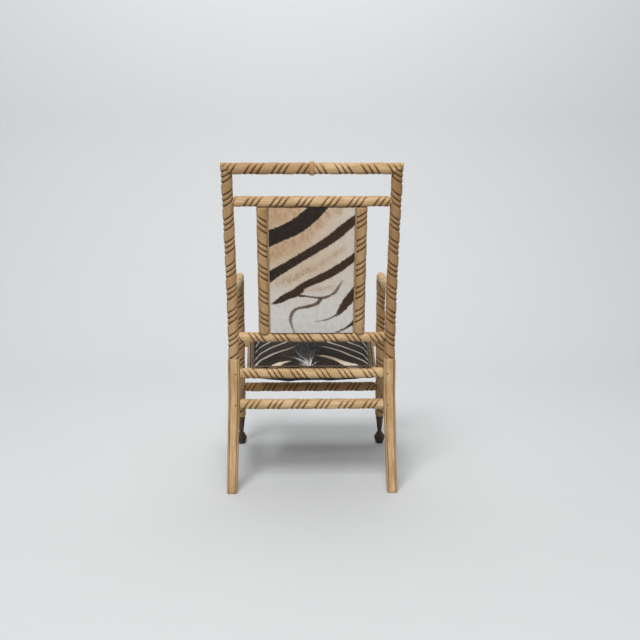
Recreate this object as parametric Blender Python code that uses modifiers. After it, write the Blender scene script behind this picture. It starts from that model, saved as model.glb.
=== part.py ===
"""Armchair whose round sticks are carved as rope, with a hide back panel and a hide seat.

Metres, +Z up. The floor is Z = 0, the back of the chair faces -Y and the sitter looks along +Y.
Left and right are the sitter's, so left is -X.
"""
import math
from dataclasses import dataclass

import bmesh
import bpy
import numpy as np
from mathutils import Matrix, Vector

# Heights of the stick centre lines above the floor; a rise or drop is measured from a neighbouring stick
CREST_Z = 1.001
UPPER_BACK_RAIL_DROP = 0.0965
SEAT_RAIL_Z = 0.3635
SEAT_FRONT_RISE = 0.007
LOWER_BACK_RAIL_RISE = 0.1155
SIDE_STRETCHER_Z = 0.232
REAR_STRETCHER_RISE = 0.0335
FRONT_STRETCHER_DROP = 0.024
ARM_FRONT_Z = 0.602
ARM_REAR_RISE = 0.019

# Plan: half spacings of the centre lines and the depth of the seat
REAR_POST_X = 0.2425
FRONT_POST_X = 0.2485
STILE_X = 0.1465
SEAT_SIDE_REAR_X = 0.186
SEAT_SIDE_FRONT_X = 0.206
SEAT_DEPTH = 0.457

# Bent rear posts: the back leans towards -Y above the bend, and the leg kicks towards -Y below it
BACK_BEND_RISE = 0.020
LEG_BEND_Z = 0.300
BACK_RAKE = 0.150
LEG_KICK = 0.074
BACK_SPLAY = 0.0044
LEG_SPLAY = 0.0065
BACK_CURVE = 1.5
LEG_CURVE = 1.2
POST_SAMPLES = 400
AXIS_STEP = 0.002

# Stick diameters
POST_DIA = 0.0340
CREST_DIA = 0.0342
BACK_RAIL_DIA = 0.0315
STILE_DIA = 0.0345
SEAT_RAIL_DIA = 0.0335
STRETCHER_DIA = 0.0330
FRONT_DIA = 0.0325

# Rope carving: one broad band and two narrow ribs between three grooves, wound once round per lead
UPPER_LEAD = 0.076
LOWER_LEAD = 0.074
BAND_SHARE = 0.54
GROOVE_WIDTH = 0.006
GROOVE_DEPTH = 0.0028
ROPE_SIDES = 7
END_SHARE = 0.88
RIGHT_HAND = 1
LEFT_HAND = -1
WELD = 0.000001

# Carved ring at the middle of the crest
CREST_RING_DIA = 0.0436
CREST_RING_WIDTH = 0.016
CREST_RING_SIDES = 10
RING_FLAT_SHARE = 0.35
RING_SLOPE_SHARE = 0.75

# Plain eight-sided rear legs, measured across the flats
LEG_TOP_WIDTH = 0.0365
LEG_FOOT_WIDTH = 0.0315
LEG_TOP_RISE = 0.0465
LEG_SHOULDER = 0.008
LEG_NECK_MARGIN = 0.002
LEG_NECK_RISE = 0.003
LEG_RINGS = 6
FOOT_CHAMFER = 0.004

# Joinery
FIT = 0.0003
TENON_DIA = 0.016
TENON_LENGTH = 0.018
TENON_ROOT = 0.003
PEG_DIA = 0.004
PEG_LENGTH = 0.028
PEG_INSET = 0.0064
DOWEL_DIA = 0.007
DOWEL_LENGTH = 0.020
ROUND_SIDES = 6
CUTTER_REACH = 0.004

# Front feet: a tapered neck on a ball that four talons grip
FOOT_HEIGHT = 0.0985
FOOT_TOP_DIA = 0.0268
FOOT_COLLAR = 0.007
FOOT_NECK_DIA = 0.0136
FOOT_NECK_Z = 0.0420
FOOT_BALL_DIA = 0.0388
FOOT_BALL_Z = 0.0190
FOOT_BASE_DIA = 0.0250
FOOT_PIN_DIA = 0.012
FOOT_PIN_LENGTH = 0.025
TALONS = 4
TALON_DEPTH = 0.0036
BALL_ARC_POINTS = 6
BALL_COVE_ANGLE = 0.2

# Back panel
BOARD_THICKNESS = 0.009
BOARD_GROOVE = 0.005
PANEL_MARGIN = 0.0012
REAR_CROWN = 0.008
FRONT_CROWN = 0.024
PAD_EDGE_SHARE = 0.25
PAD_FULLNESS = 0.45
PANEL_COLUMNS = 6
PANEL_ROWS = 8

# Seat
HIDE_THICKNESS = 0.0016
SEAT_CROWN = 0.022
SEAT_EDGE_LIFT = 0.003
WEB_THICKNESS = 0.0015
WEB_WIDTH = 0.050
WEB_SAG = 0.030
WEB_STRAPS = 4
WEB_SPREAD = 0.9
WEB_STEPS = 8
WEB_TURN_UP = 0.92
WEB_LAYER_GAP = 0.0012
WEB_CLEARANCE = 0.0025
DUST_SLACK = 0.018
DUST_THICKNESS = 0.0010
DUST_LOBE = 0.48
GIMP_DIA = 0.005
SOFT_GAP = 0.0005
SEAT_COLUMNS = 8
SEAT_ROWS = 8

# Shading: the sharpest turn, in degrees, that stays smooth on wood and on soft pieces
WOOD_SMOOTH = 38
SOFT_SMOOTH = 60

# Places that follow from the sizes above; the box round the chair is centred on Y = 0
REAR_Y = (BACK_RAKE + CREST_RING_DIA / 2 - SEAT_DEPTH - FOOT_BALL_DIA / 2) / 2
FRONT_Y = REAR_Y + SEAT_DEPTH
UPPER_BACK_RAIL_Z = CREST_Z - UPPER_BACK_RAIL_DROP
LOWER_BACK_RAIL_Z = SEAT_RAIL_Z + LOWER_BACK_RAIL_RISE
LEG_TOP_Z = SEAT_RAIL_Z + LEG_TOP_RISE
BACK_BEND_Z = LEG_TOP_Z + BACK_BEND_RISE
LEG_NECK_DIA = POST_DIA - 2 * (GROOVE_DEPTH + LEG_NECK_MARGIN)
ARM_REAR_Z = ARM_FRONT_Z + ARM_REAR_RISE
REAR_STRETCHER_Z = SIDE_STRETCHER_Z + REAR_STRETCHER_RISE
FRONT_STRETCHER_Z = SIDE_STRETCHER_Z - FRONT_STRETCHER_DROP
SIDES = {"left": -1, "right": 1}

UP = Vector((0, 0, 1))
ACROSS = Vector((1, 0, 0))
FORWARD = Vector((0, 1, 0))

# Colour, roughness and metallic value of each finish
FINISHES = {
    "carved_wood": ((0.46, 0.29, 0.14), 0.55, 0.0),
    "plain_board": ((0.50, 0.36, 0.21), 0.70, 0.0),
    "dark_turning": ((0.07, 0.045, 0.03), 0.45, 0.0),
    "peg_wood": ((0.16, 0.09, 0.045), 0.60, 0.0),
    "pale_hide": ((0.62, 0.52, 0.42), 0.80, 0.0),
    "dark_hide": ((0.05, 0.04, 0.035), 0.75, 0.0),
    "gimp_braid": ((0.13, 0.10, 0.075), 0.90, 0.0),
    "stuffing_fibre": ((0.30, 0.24, 0.17), 0.95, 0.0),
    "webbing_jute": ((0.33, 0.25, 0.15), 0.90, 0.0),
    "black_cloth": ((0.012, 0.012, 0.013), 0.95, 0.0),
}


@dataclass
class End:
    """One end of a carved stick.

    normal is the unit normal of the cutting plane and points into the stick, distance runs from
    the joint's centre to that plane, and tenon is the length of the round tenon beyond it.
    """

    normal: Vector
    distance: float
    tenon: float


@dataclass(frozen=True)
class Rope:
    """Twist of one stick: the hand of its helix, its lead, and where its broad band starts.

    The start is measured along the stick, at its local angle 0. It counts from the stick's first joint, from
    the middle of the crest, and from the top of the plain leg on a rear post.
    """

    hand: int
    lead: float
    start: float


ROPES = {
    "crest_rail": Rope(LEFT_HAND, UPPER_LEAD, 0.0217),
    "upper_back_rail": Rope(LEFT_HAND, UPPER_LEAD, 0.0350),
    "lower_back_rail": Rope(RIGHT_HAND, LOWER_LEAD, 0.0733),
    "back_stile_left": Rope(LEFT_HAND, UPPER_LEAD, 0.0646),
    "back_stile_right": Rope(RIGHT_HAND, UPPER_LEAD, 0.0418),
    "rear_post_left": Rope(RIGHT_HAND, UPPER_LEAD, 0.0274),
    "rear_post_right": Rope(LEFT_HAND, UPPER_LEAD, 0.0638),
    "front_post_left": Rope(RIGHT_HAND, UPPER_LEAD, 0.0),
    "front_post_right": Rope(LEFT_HAND, UPPER_LEAD, UPPER_LEAD / 2),
    "arm_left": Rope(RIGHT_HAND, UPPER_LEAD, 0.0),
    "arm_right": Rope(LEFT_HAND, UPPER_LEAD, 0.0),
    "seat_rail_rear": Rope(RIGHT_HAND, LOWER_LEAD, 0.0525),
    "seat_rail_front": Rope(RIGHT_HAND, LOWER_LEAD, 0.0525),
    "seat_rail_left": Rope(LEFT_HAND, LOWER_LEAD, 0.0),
    "seat_rail_right": Rope(RIGHT_HAND, LOWER_LEAD, 0.0),
    "stretcher_rear": Rope(LEFT_HAND, LOWER_LEAD, 0.0170),
    "stretcher_front": Rope(LEFT_HAND, LOWER_LEAD, 0.0644),
    "stretcher_left": Rope(LEFT_HAND, LOWER_LEAD, 0.0),
    "stretcher_right": Rope(RIGHT_HAND, LOWER_LEAD, 0.0),
}


def clear_scene():
    """Remove every object of the open scene."""
    for thing in list(bpy.data.objects):
        bpy.data.objects.remove(thing, do_unlink=True)


def make_collection(name):
    """Add a collection to the scene."""
    collection = bpy.data.collections.new(name)
    bpy.context.scene.collection.children.link(collection)
    return collection


def finish_material(node, finish):
    """Give one node its own Principled material from a named finish."""
    colour, roughness, metallic = FINISHES[finish]
    material = bpy.data.materials.new(f"{node}_{finish}")
    material.use_nodes = True
    shader = material.node_tree.nodes["Principled BSDF"]
    shader.inputs["Base Color"].default_value = (*colour, 1.0)
    shader.inputs["Roughness"].default_value = roughness
    shader.inputs["Metallic"].default_value = metallic
    return material


clear_scene()
CHAIR = make_collection("armchair")
CUTTERS = make_collection("cutters")
ROOT = bpy.data.objects.new("armchair_root", None)
CHAIR.objects.link(ROOT)


def add_part(name, mesh, finish, matrix=None, smooth=WOOD_SMOOTH):
    """Put a finished mesh in the chair as one named part."""
    mesh.shade_smooth()
    mesh.set_sharp_from_angle(angle=math.radians(smooth))
    part = bpy.data.objects.new(name, mesh)
    part.matrix_world = matrix or Matrix.Identity(4)
    CHAIR.objects.link(part)
    part.parent = ROOT
    mesh.materials.append(finish_material(name, finish))
    return part


def mesh_from(bm, name):
    """Turn a bmesh into a mesh with its faces pointing out."""
    bmesh.ops.recalc_face_normals(bm, faces=bm.faces[:])
    mesh = bpy.data.meshes.new(name)
    bm.to_mesh(mesh)
    bm.free()
    return mesh


def axis_matrix(origin, direction):
    """Frame at origin whose Z axis runs along direction and whose X axis is as level as it can be."""
    axis = direction.normalized()
    steep = abs(axis.z) > math.sqrt(0.5)
    guide = ACROSS if steep else UP
    first = (guide - axis * guide.dot(axis)).normalized()
    second = axis.cross(first)
    turn = Matrix((first, second, axis)).transposed()
    return Matrix.Translation(origin) @ turn.to_4x4()


def cylinder_bmesh(radius, length, sides=ROUND_SIDES):
    """Closed cylinder about the local Z axis, centred on the origin."""
    bm = bmesh.new()
    bmesh.ops.create_cone(bm, cap_ends=True, segments=sides, radius1=radius, radius2=radius, depth=length)
    return bm


def hide_cutter(cutter):
    """Keep a cutting object out of the finished part."""
    CUTTERS.objects.link(cutter)
    cutter.hide_render = True
    cutter.display_type = "WIRE"


def cut(target, cutter):
    """Take the cutter's volume out of the target."""
    boolean = target.modifiers.new(cutter.name, "BOOLEAN")
    boolean.operation = "DIFFERENCE"
    boolean.solver = "EXACT"
    boolean.object = cutter


def bore(targets, name, centre, direction, length, radius):
    """Bore a round hole of the given middle, direction and length in each target."""
    round_radius = (radius + FIT) / math.cos(math.pi / ROUND_SIDES)
    mesh = mesh_from(cylinder_bmesh(round_radius, length), name)
    cutter = bpy.data.objects.new(name, mesh)
    cutter.matrix_world = axis_matrix(centre, direction)
    hide_cutter(cutter)
    for target in targets:
        cut(target, cutter)


def rope_outline(radius, lead):
    """One lead of the carved outline as (radius, height): a broad band, two ribs and three grooves."""
    floor = radius - GROOVE_DEPTH
    band = BAND_SHARE * lead
    rib = (lead - band) / 2
    return [
        (floor, 0.0),
        (radius, GROOVE_WIDTH / 2),
        (radius, band - GROOVE_WIDTH / 2),
        (floor, band),
        (radius, band + rib / 2),
        (floor, band + rib),
        (radius, band + 1.5 * rib),
        (floor, lead),
    ]


def rope_tube(radius, first, last, rope):
    """Carved tube about +Z, open at both ends, that reaches past the heights first and last.

    The outline of one lead winds round the axis and climbs one lead a turn, so each turn meets the next.
    """
    margin = 2 * radius
    foot = rope.start - rope.lead * math.ceil((rope.start - first + margin) / rope.lead + 1)
    turns = math.ceil((last + margin - foot) / rope.lead)
    bm = bmesh.new()
    line = [bm.verts.new((x, 0, foot + z)) for x, z in rope_outline(radius, rope.lead)]
    edges = [bm.edges.new(pair) for pair in zip(line, line[1:])]
    bmesh.ops.spin(bm, geom=line + edges, cent=(0, 0, 0), axis=(0, 0, rope.hand), dvec=(0, 0, rope.lead / ROPE_SIDES),
                   angle=2 * math.pi * turns, steps=ROPE_SIDES * turns, use_duplicate=False)
    bmesh.ops.remove_doubles(bm, verts=bm.verts[:], dist=WELD)
    return bm


def plane_cut(bm, point, normal, share=1.0, close=True):
    """Cut a tube along a plane and keep the side that the normal points to.

    share draws the rim in towards the axis, which rounds the end over.
    """
    geometry = bm.verts[:] + bm.edges[:] + bm.faces[:]
    done = bmesh.ops.bisect_plane(bm, geom=geometry, dist=WELD, plane_co=point, plane_no=-normal, clear_outer=True)
    rim = [item for item in done["geom_cut"] if isinstance(item, bmesh.types.BMEdge)]
    for vert in {vert for edge in rim for vert in edge.verts}:
        vert.co = point + (vert.co - point) * share
    if close:
        bmesh.ops.edgeloop_fill(bm, edges=rim)


def join(target, name, mesh, matrix):
    """Join a mesh to the target as one body."""
    addition = bpy.data.objects.new(name, mesh)
    addition.matrix_world = matrix
    hide_cutter(addition)
    union = target.modifiers.new(name, "BOOLEAN")
    union.operation = "UNION"
    union.solver = "EXACT"
    union.object = addition


def carved_stick(name, start, finish, diameter, near, far):
    """Carve one straight stick between two joint centres."""
    along = (finish - start).normalized()
    length = (finish - start).length
    matrix = axis_matrix(start, along)
    to_local = matrix.to_3x3().inverted()
    bm = rope_tube(diameter / 2, 0.0, length, ROPES[name])
    for end, node in ((near, 0.0), (far, length)):
        normal = to_local @ end.normal
        shoulder = Vector((0, 0, node + end.distance / normal.z))
        plane_cut(bm, shoulder, normal, END_SHARE if end.tenon else 1.0)
    stick = add_part(name, mesh_from(bm, name), "carved_wood", matrix)
    for end, joint, inward in ((near, start, along), (far, finish, -along)):
        if end.tenon:
            reach = end.distance / inward.dot(end.normal)
            centre = joint + inward * (reach + (TENON_ROOT - end.tenon) / 2)
            tenon_name = f"{name}_tenon_{'near' if joint is start else 'far'}"
            tenon = mesh_from(cylinder_bmesh(TENON_DIA / 2, TENON_ROOT + end.tenon), tenon_name)
            join(stick, tenon_name, tenon, axis_matrix(centre, inward))
    return stick


def round_ring(radius, z, sides, phase=0.0):
    """Corners of a level ring with evenly spaced corners."""
    turns = [phase + 2 * math.pi * k / sides for k in range(sides)]
    return [Vector((radius * math.cos(turn), radius * math.sin(turn), z)) for turn in turns]


def loft(rings):
    """Closed body through rings that all have the same number of corners."""
    bm = bmesh.new()
    loops = [[bm.verts.new(corner) for corner in corners] for corners in rings]
    for lower, upper in zip(loops, loops[1:]):
        for i in range(len(lower)):
            j = (i + 1) % len(lower)
            bm.faces.new((lower[i], lower[j], upper[j], upper[i]))
    bm.faces.new(loops[0][::-1])
    bm.faces.new(loops[-1])
    return bm


def crest_rail(left, right, left_end):
    """Crest with a ring at its middle; its right half mirrors the left, so the twist changes hand there."""
    middle = (left + right) / 2
    along = (right - left).normalized()
    half = (right - left).length / 2
    matrix = axis_matrix(middle, along)
    normal = matrix.to_3x3().inverted() @ left_end.normal
    bm = rope_tube(CREST_DIA / 2, -half, 0.0, ROPES["crest_rail"])
    plane_cut(bm, Vector((0, 0, -half + left_end.distance / normal.z)), normal)
    plane_cut(bm, Vector((0, 0, 0)), -UP, close=False)
    crest = add_part("crest_rail", mesh_from(bm, "crest_rail"), "carved_wood", matrix)
    mirror = crest.modifiers.new("right_half", "MIRROR")
    mirror.use_axis = (False, False, True)
    mirror.use_mirror_merge = True
    mirror.merge_threshold = WELD

    base = CREST_DIA / 2 - GROOVE_DEPTH - FIT
    bead = CREST_RING_DIA / 2
    rising = [(1.0, base), (RING_SLOPE_SHARE, (base + bead) / 2), (RING_FLAT_SHARE, bead)]
    shape = [(-share, radius) for share, radius in rising] + rising[::-1]
    rings = [round_ring(radius, share * CREST_RING_WIDTH / 2, CREST_RING_SIDES) for share, radius in shape]
    join(crest, "crest_ring", mesh_from(loft(rings), "crest_ring"), matrix)
    return crest


def shoulder_end(direction, host_axis, host_diameter):
    """End with a tenon, whose shoulder stands just clear of a round host stick."""
    normal = (direction - host_axis * direction.dot(host_axis)).normalized()
    return End(normal, host_diameter / 2 + FIT, TENON_LENGTH)


def socket(host, stick, joint, direction, end):
    """Bore the host for a stick's tenon; direction points from the joint into the stick."""
    mouth = end.distance / direction.dot(end.normal) + CUTTER_REACH
    floor = mouth - CUTTER_REACH - end.tenon - FIT
    centre = joint + direction * (mouth + floor) / 2
    bore([host], f"{stick.name}_in_{host.name}", centre, direction, mouth - floor, TENON_DIA / 2)


def jointed_stick(name, ends, hosts, axes, diameters, diameter):
    """Carve a stick with a tenon at both ends and bore both host sticks for it."""
    start, finish = ends
    along = (finish - start).normalized()
    near = shoulder_end(along, axes[0], diameters[0])
    far = shoulder_end(-along, axes[1], diameters[1])
    stick = carved_stick(name, start, finish, diameter, near, far)
    socket(hosts[0], stick, start, along, near)
    socket(hosts[1], stick, finish, -along, far)
    return stick


def rear_point(z, side):
    """Point on a rear post's centre line at height z."""
    rise = max(0.0, (z - BACK_BEND_Z) / (CREST_Z - BACK_BEND_Z))
    fall = max(0.0, (LEG_BEND_Z - z) / LEG_BEND_Z)
    x = REAR_POST_X + BACK_SPLAY * rise + LEG_SPLAY * fall
    y = REAR_Y - BACK_RAKE * rise ** BACK_CURVE - LEG_KICK * fall ** LEG_CURVE
    return Vector((side * x, y, z))


def rear_axis(z, side):
    """Direction of a rear post at height z."""
    return (rear_point(z + AXIS_STEP, side) - rear_point(z - AXIS_STEP, side)).normalized()


def post_lengths():
    """Heights on a rear post, and the length of its centre line up to each of them."""
    heights = np.linspace(-POST_DIA, CREST_Z + 2 * POST_DIA, POST_SAMPLES)
    points = np.array([rear_point(z, 1) for z in heights])
    steps = np.linalg.norm(np.diff(points, axis=0), axis=1)
    return heights, np.concatenate(([0.0], np.cumsum(steps)))


def length_at(z):
    """Length of a rear post's centre line up to height z."""
    return float(np.interp(z, *post_lengths()))


def front_point(z, side):
    """Point on a front post's centre line at height z."""
    return Vector((side * FRONT_POST_X, FRONT_Y, z))


def mitre_normal(kept, other):
    """Normal of the plane that halves the corner, pointing into the kept stick.

    Both directions point from their stick towards the corner.
    """
    return (other - kept).normalized()


def bent(corners, side):
    """Carry points from a straight stick on to the bent centre line of a rear post."""
    heights, lengths = post_lengths()
    carried = []
    for corner in corners:
        z = float(np.interp(corner.z, lengths, heights))
        frame = axis_matrix(rear_point(z, side), rear_axis(z, side))
        carried.append(frame @ Vector((corner.x, corner.y, 0)))
    return carried


def leg_ring(width, z):
    """Corners of the eight-sided leg, of the given width across the flats, at a height on the straight stick."""
    half_angle = math.pi / 8
    return round_ring(width / 2 / math.cos(half_angle), z, 8, half_angle)


def plain_leg(side):
    """Plain leg from the floor to the scooped shoulder, with a neck that runs up into the carving."""
    foot = rear_point(0.0, side)
    level = Vector((foot.x, foot.y, 0))
    rings = []
    for z, width in ((0.0, LEG_FOOT_WIDTH - 2 * FOOT_CHAMFER), (FOOT_CHAMFER, LEG_FOOT_WIDTH)):
        rings.append([corner + level for corner in leg_ring(width, z)])
    top = LEG_TOP_Z - LEG_SHOULDER
    for z in np.linspace(top / LEG_RINGS, top, LEG_RINGS):
        width = LEG_FOOT_WIDTH + (LEG_TOP_WIDTH - LEG_FOOT_WIDTH) * min(1.0, z / LEG_BEND_Z)
        rings.append(bent(leg_ring(width, length_at(z)), side))
    rings.append(bent(leg_ring(LEG_NECK_DIA, length_at(LEG_TOP_Z) + LEG_NECK_RISE), side))
    return loft(rings)


def rear_post(side_name, crest_end):
    """One rear post: plain leg below, rope carving above, mitred at the crest."""
    side = SIDES[side_name]
    name = f"rear_post_{side_name}"
    leg = length_at(LEG_TOP_Z)
    rope_length = length_at(CREST_Z) - leg
    frame = axis_matrix(rear_point(CREST_Z, side), rear_axis(CREST_Z, side))
    normal = frame.to_3x3().inverted() @ crest_end.normal
    bm = rope_tube(POST_DIA / 2, 0.0, rope_length, ROPES[name])
    plane_cut(bm, Vector((0, 0, 0)), UP)
    plane_cut(bm, Vector((0, 0, rope_length + crest_end.distance / normal.z)), normal)
    bmesh.ops.translate(bm, vec=UP * leg, verts=bm.verts[:])
    for vert, corner in zip(bm.verts, bent([vert.co for vert in bm.verts], side)):
        vert.co = corner
    post = add_part(name, mesh_from(bm, name), "carved_wood")
    join(post, f"plain_leg_{side_name}", mesh_from(plain_leg(side), "plain_leg"), Matrix.Identity(4))
    return post


def front_post(side_name, arm_end):
    """One front post: rope carving from the foot to the mitre with the arm."""
    side = SIDES[side_name]
    base = End(UP, FIT, 0.0)
    start = front_point(FOOT_HEIGHT, side)
    finish = front_point(ARM_FRONT_Z, side)
    return carved_stick(f"front_post_{side_name}", start, finish, FRONT_DIA, base, arm_end)


def mitre_dowel(name, corner, normal, pieces):
    """Dowel across a mitred corner, and its holes in both pieces."""
    bore(pieces, f"{name}_hole", corner, normal, DOWEL_LENGTH + 2 * FIT, DOWEL_DIA / 2)
    dowel = mesh_from(cylinder_bmesh(DOWEL_DIA / 2, DOWEL_LENGTH), name)
    add_part(name, dowel, "peg_wood", axis_matrix(corner, normal))


def joint_peg(name, side, z, pieces):
    """Peg driven in from the back through a rear leg and a rail's tenon, and its holes."""
    post = rear_point(z, side)
    face = post.y - LEG_TOP_WIDTH / 2
    x = post.x - side * PEG_INSET
    hole_centre = Vector((x, face + (PEG_LENGTH + FIT - CUTTER_REACH) / 2, z))
    bore(pieces, f"{name}_hole", hole_centre, FORWARD, PEG_LENGTH + FIT + CUTTER_REACH, PEG_DIA / 2)
    peg = mesh_from(cylinder_bmesh(PEG_DIA / 2, PEG_LENGTH), name)
    add_part(name, peg, "peg_wood", axis_matrix(Vector((x, face + PEG_LENGTH / 2, z)), FORWARD))


def claw_ring(talon, ball, z):
    """Level ring of a foot: talons that reach out to one radius, and a ball of another radius between them."""
    flank = (talon + ball) / 2
    radii = (talon, flank, ball, flank) * TALONS
    unit = round_ring(1.0, z, len(radii))
    return [Vector((radius * corner.x, radius * corner.y, z)) for radius, corner in zip(radii, unit)]


def front_foot(side_name, post):
    """Foot with a tapered neck and a gripped ball, pinned into the end of the front post."""
    side = SIDES[side_name]
    top = FOOT_HEIGHT
    ball = FOOT_BALL_DIA / 2
    first = math.acos(FOOT_NECK_DIA / FOOT_BALL_DIA) - BALL_COVE_ANGLE
    last = -math.acos(FOOT_BASE_DIA / FOOT_BALL_DIA)
    height = FOOT_BALL_Z / math.sin(-last)
    rings = []
    for angle in np.linspace(last, first, BALL_ARC_POINTS):
        reach = math.cos(angle)
        z = FOOT_BALL_Z + height * math.sin(angle)
        rings.append(claw_ring(ball * reach, (ball - TALON_DEPTH) * reach, z))
    turned = ((FOOT_NECK_DIA, FOOT_NECK_Z), (FOOT_TOP_DIA, top - FOOT_COLLAR), (FOOT_TOP_DIA, top),
              (FOOT_PIN_DIA, top), (FOOT_PIN_DIA, top + FOOT_PIN_LENGTH))
    for diameter, z in turned:
        rings.append(claw_ring(diameter / 2, diameter / 2, z))
    name = f"front_foot_{side_name}"
    foot = add_part(name, mesh_from(loft(rings), name), "dark_turning", Matrix.Translation(front_point(0.0, side)))
    pin_centre = front_point(top + FOOT_PIN_LENGTH / 2, side)
    bore([post], f"{foot.name}_pin_hole", pin_centre, UP, FOOT_PIN_LENGTH + 2 * CUTTER_REACH, FOOT_PIN_DIA / 2)
    return foot


def soft_mesh(plan_x, plan_y, upper, lower):
    """Closed body between two height fields over the same plan of rows and columns."""
    rows, columns = plan_x.shape
    bm = bmesh.new()
    bmesh.ops.create_grid(bm, x_segments=columns - 1, y_segments=rows - 1, size=1.0)
    raised = bmesh.ops.extrude_face_region(bm, geom=bm.faces[:])
    lifted = [item for item in raised["geom"] if isinstance(item, bmesh.types.BMVert)]
    bmesh.ops.translate(bm, vec=UP, verts=lifted)
    for vert in bm.verts:
        column = round((vert.co.x + 1) / 2 * (columns - 1))
        row = round((vert.co.y + 1) / 2 * (rows - 1))
        height = upper if vert.co.z > 0.5 else lower
        vert.co = (plan_x[row, column], plan_y[row, column], height[row, column])
    return bm


def soft_part(name, plan, upper, lower, finish, matrix=None):
    """Add one soft piece that fills the space between two height fields."""
    mesh = mesh_from(soft_mesh(plan[0], plan[1], upper, lower), name)
    return add_part(name, mesh, finish, matrix, SOFT_SMOOTH)


def rounded_stations(count):
    """Stations from -1 to 1 that crowd towards both ends, where a pad turns down."""
    return np.sin(np.linspace(-math.pi / 2, math.pi / 2, count))


def crown(across, along):
    """Height share of a plump pad: 1 at its middle and 0 along its edges."""
    return ((1 - across ** 2) * (1 - along ** 2)).clip(0) ** PAD_FULLNESS


def panel_side(label, facing, swell, panel_half, panel_height, matrix, pad_name):
    """Pad and hide on one face of the back board; facing is the side of the board, +1 or -1."""
    pad_edge = HIDE_THICKNESS + SOFT_GAP
    pad_half = panel_half - pad_edge
    stations_x = rounded_stations(PANEL_COLUMNS + 1)
    stations_y = rounded_stations(PANEL_ROWS + 1)
    across, along = np.meshgrid(stations_x, stations_y)
    board = BOARD_THICKNESS / 2 + FIT
    pad_top = board + swell * (PAD_EDGE_SHARE + (1 - PAD_EDGE_SHARE) * crown(across, along))
    half_height = panel_height / 2
    pad_plan = (pad_half * across, (half_height - pad_edge) * along)
    turn = matrix if facing > 0 else matrix @ Matrix.Rotation(math.pi, 4, "Y")
    soft_part(pad_name, pad_plan, pad_top, np.full_like(pad_top, board), "stuffing_fibre", turn)

    edge_x = np.concatenate(([-panel_half], pad_half * stations_x, [panel_half]))
    edge_y = np.concatenate(([-half_height], (half_height - pad_edge) * stations_y, [half_height]))
    hide_plan = np.meshgrid(edge_x, edge_y)
    under = np.pad(pad_top + SOFT_GAP, 1, constant_values=board)
    over = under + HIDE_THICKNESS
    soft_part(f"back_hide_{label}", hide_plan, over, under, "pale_hide", turn)


def back_panel(stiles):
    """Board between the stiles, with a hide-covered pad on each face."""
    low = rear_point(LOWER_BACK_RAIL_Z, 1)
    high = rear_point(UPPER_BACK_RAIL_Z, 1)
    foot = Vector((0, low.y, low.z))
    rise = Vector((0, high.y - low.y, high.z - low.z))
    up = rise.normalized()
    out = ACROSS.cross(up)
    turn = Matrix((ACROSS, up, out)).transposed().to_4x4()
    centre = foot + rise / 2
    matrix = Matrix.Translation(centre) @ turn
    clear_height = rise.length - BACK_RAIL_DIA - 2 * FIT
    panel_half = STILE_X - STILE_DIA / 2 - PANEL_MARGIN

    board_half = STILE_X - STILE_DIA / 2 + BOARD_GROOVE - FIT
    board = bmesh.new()
    size = Matrix.Diagonal((2 * board_half, clear_height, BOARD_THICKNESS, 1))
    bmesh.ops.create_cube(board, size=1.0, matrix=size)
    add_part("back_panel_board", mesh_from(board, "back_panel_board"), "plain_board", matrix)

    for side_name, stile in stiles.items():
        groove = bmesh.new()
        depth = BOARD_GROOVE + CUTTER_REACH
        size = Matrix.Diagonal((depth, clear_height + 2 * FIT, BOARD_THICKNESS + 2 * FIT, 1))
        shift = SIDES[side_name] * (STILE_X - STILE_DIA / 2 + BOARD_GROOVE - depth / 2)
        bmesh.ops.create_cube(groove, size=1.0, matrix=Matrix.Translation((shift, 0, 0)) @ size)
        cutter = bpy.data.objects.new(f"board_groove_{side_name}", mesh_from(groove, "board_groove"))
        cutter.matrix_world = matrix
        hide_cutter(cutter)
        cut(stile, cutter)

    panel_side("rear", 1, REAR_CROWN, panel_half, clear_height, matrix, "back_wadding_rear")
    panel_side("front", -1, FRONT_CROWN, panel_half, clear_height, matrix, "back_padding_front")


def seat_side_x(y):
    """Half spacing of the seat's side rails at depth y."""
    return SEAT_SIDE_REAR_X + (SEAT_SIDE_FRONT_X - SEAT_SIDE_REAR_X) * (y - REAR_Y) / SEAT_DEPTH


def seat_rail_height(y):
    """Height of the seat rails' centre lines at depth y."""
    return SEAT_RAIL_Z + SEAT_FRONT_RISE * (y - REAR_Y) / SEAT_DEPTH


def seat_rail_under(y):
    """Height of the lowest carved facets of the seat rails at depth y."""
    lowest = max(-math.cos(2 * math.pi * k / ROPE_SIDES) for k in range(ROPE_SIDES))
    return seat_rail_height(y) - lowest * SEAT_RAIL_DIA / 2


def sag_share(x, y):
    """Share of the seat's sag: 1 at its middle and 0 over the rails."""
    middle = (REAR_Y + FRONT_Y) / 2
    across = x / seat_side_x(y)
    along = (y - middle) / (SEAT_DEPTH / 2)
    return (1 - across ** 2).clip(0) * (1 - along ** 2).clip(0)


def web_top(x, y):
    """Height of the upper face of the webbing."""
    return seat_rail_under(y) - FIT - WEB_SAG * sag_share(x, y)


def web_strap(name, plan_x, plan_y, drop):
    """One strap of webbing over the given plan, lowered by its layer's drop between its ends."""
    upper = web_top(plan_x, plan_y) - drop
    soft_part(name, (plan_x, plan_y), upper, upper - WEB_THICKNESS, "webbing_jute")


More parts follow.
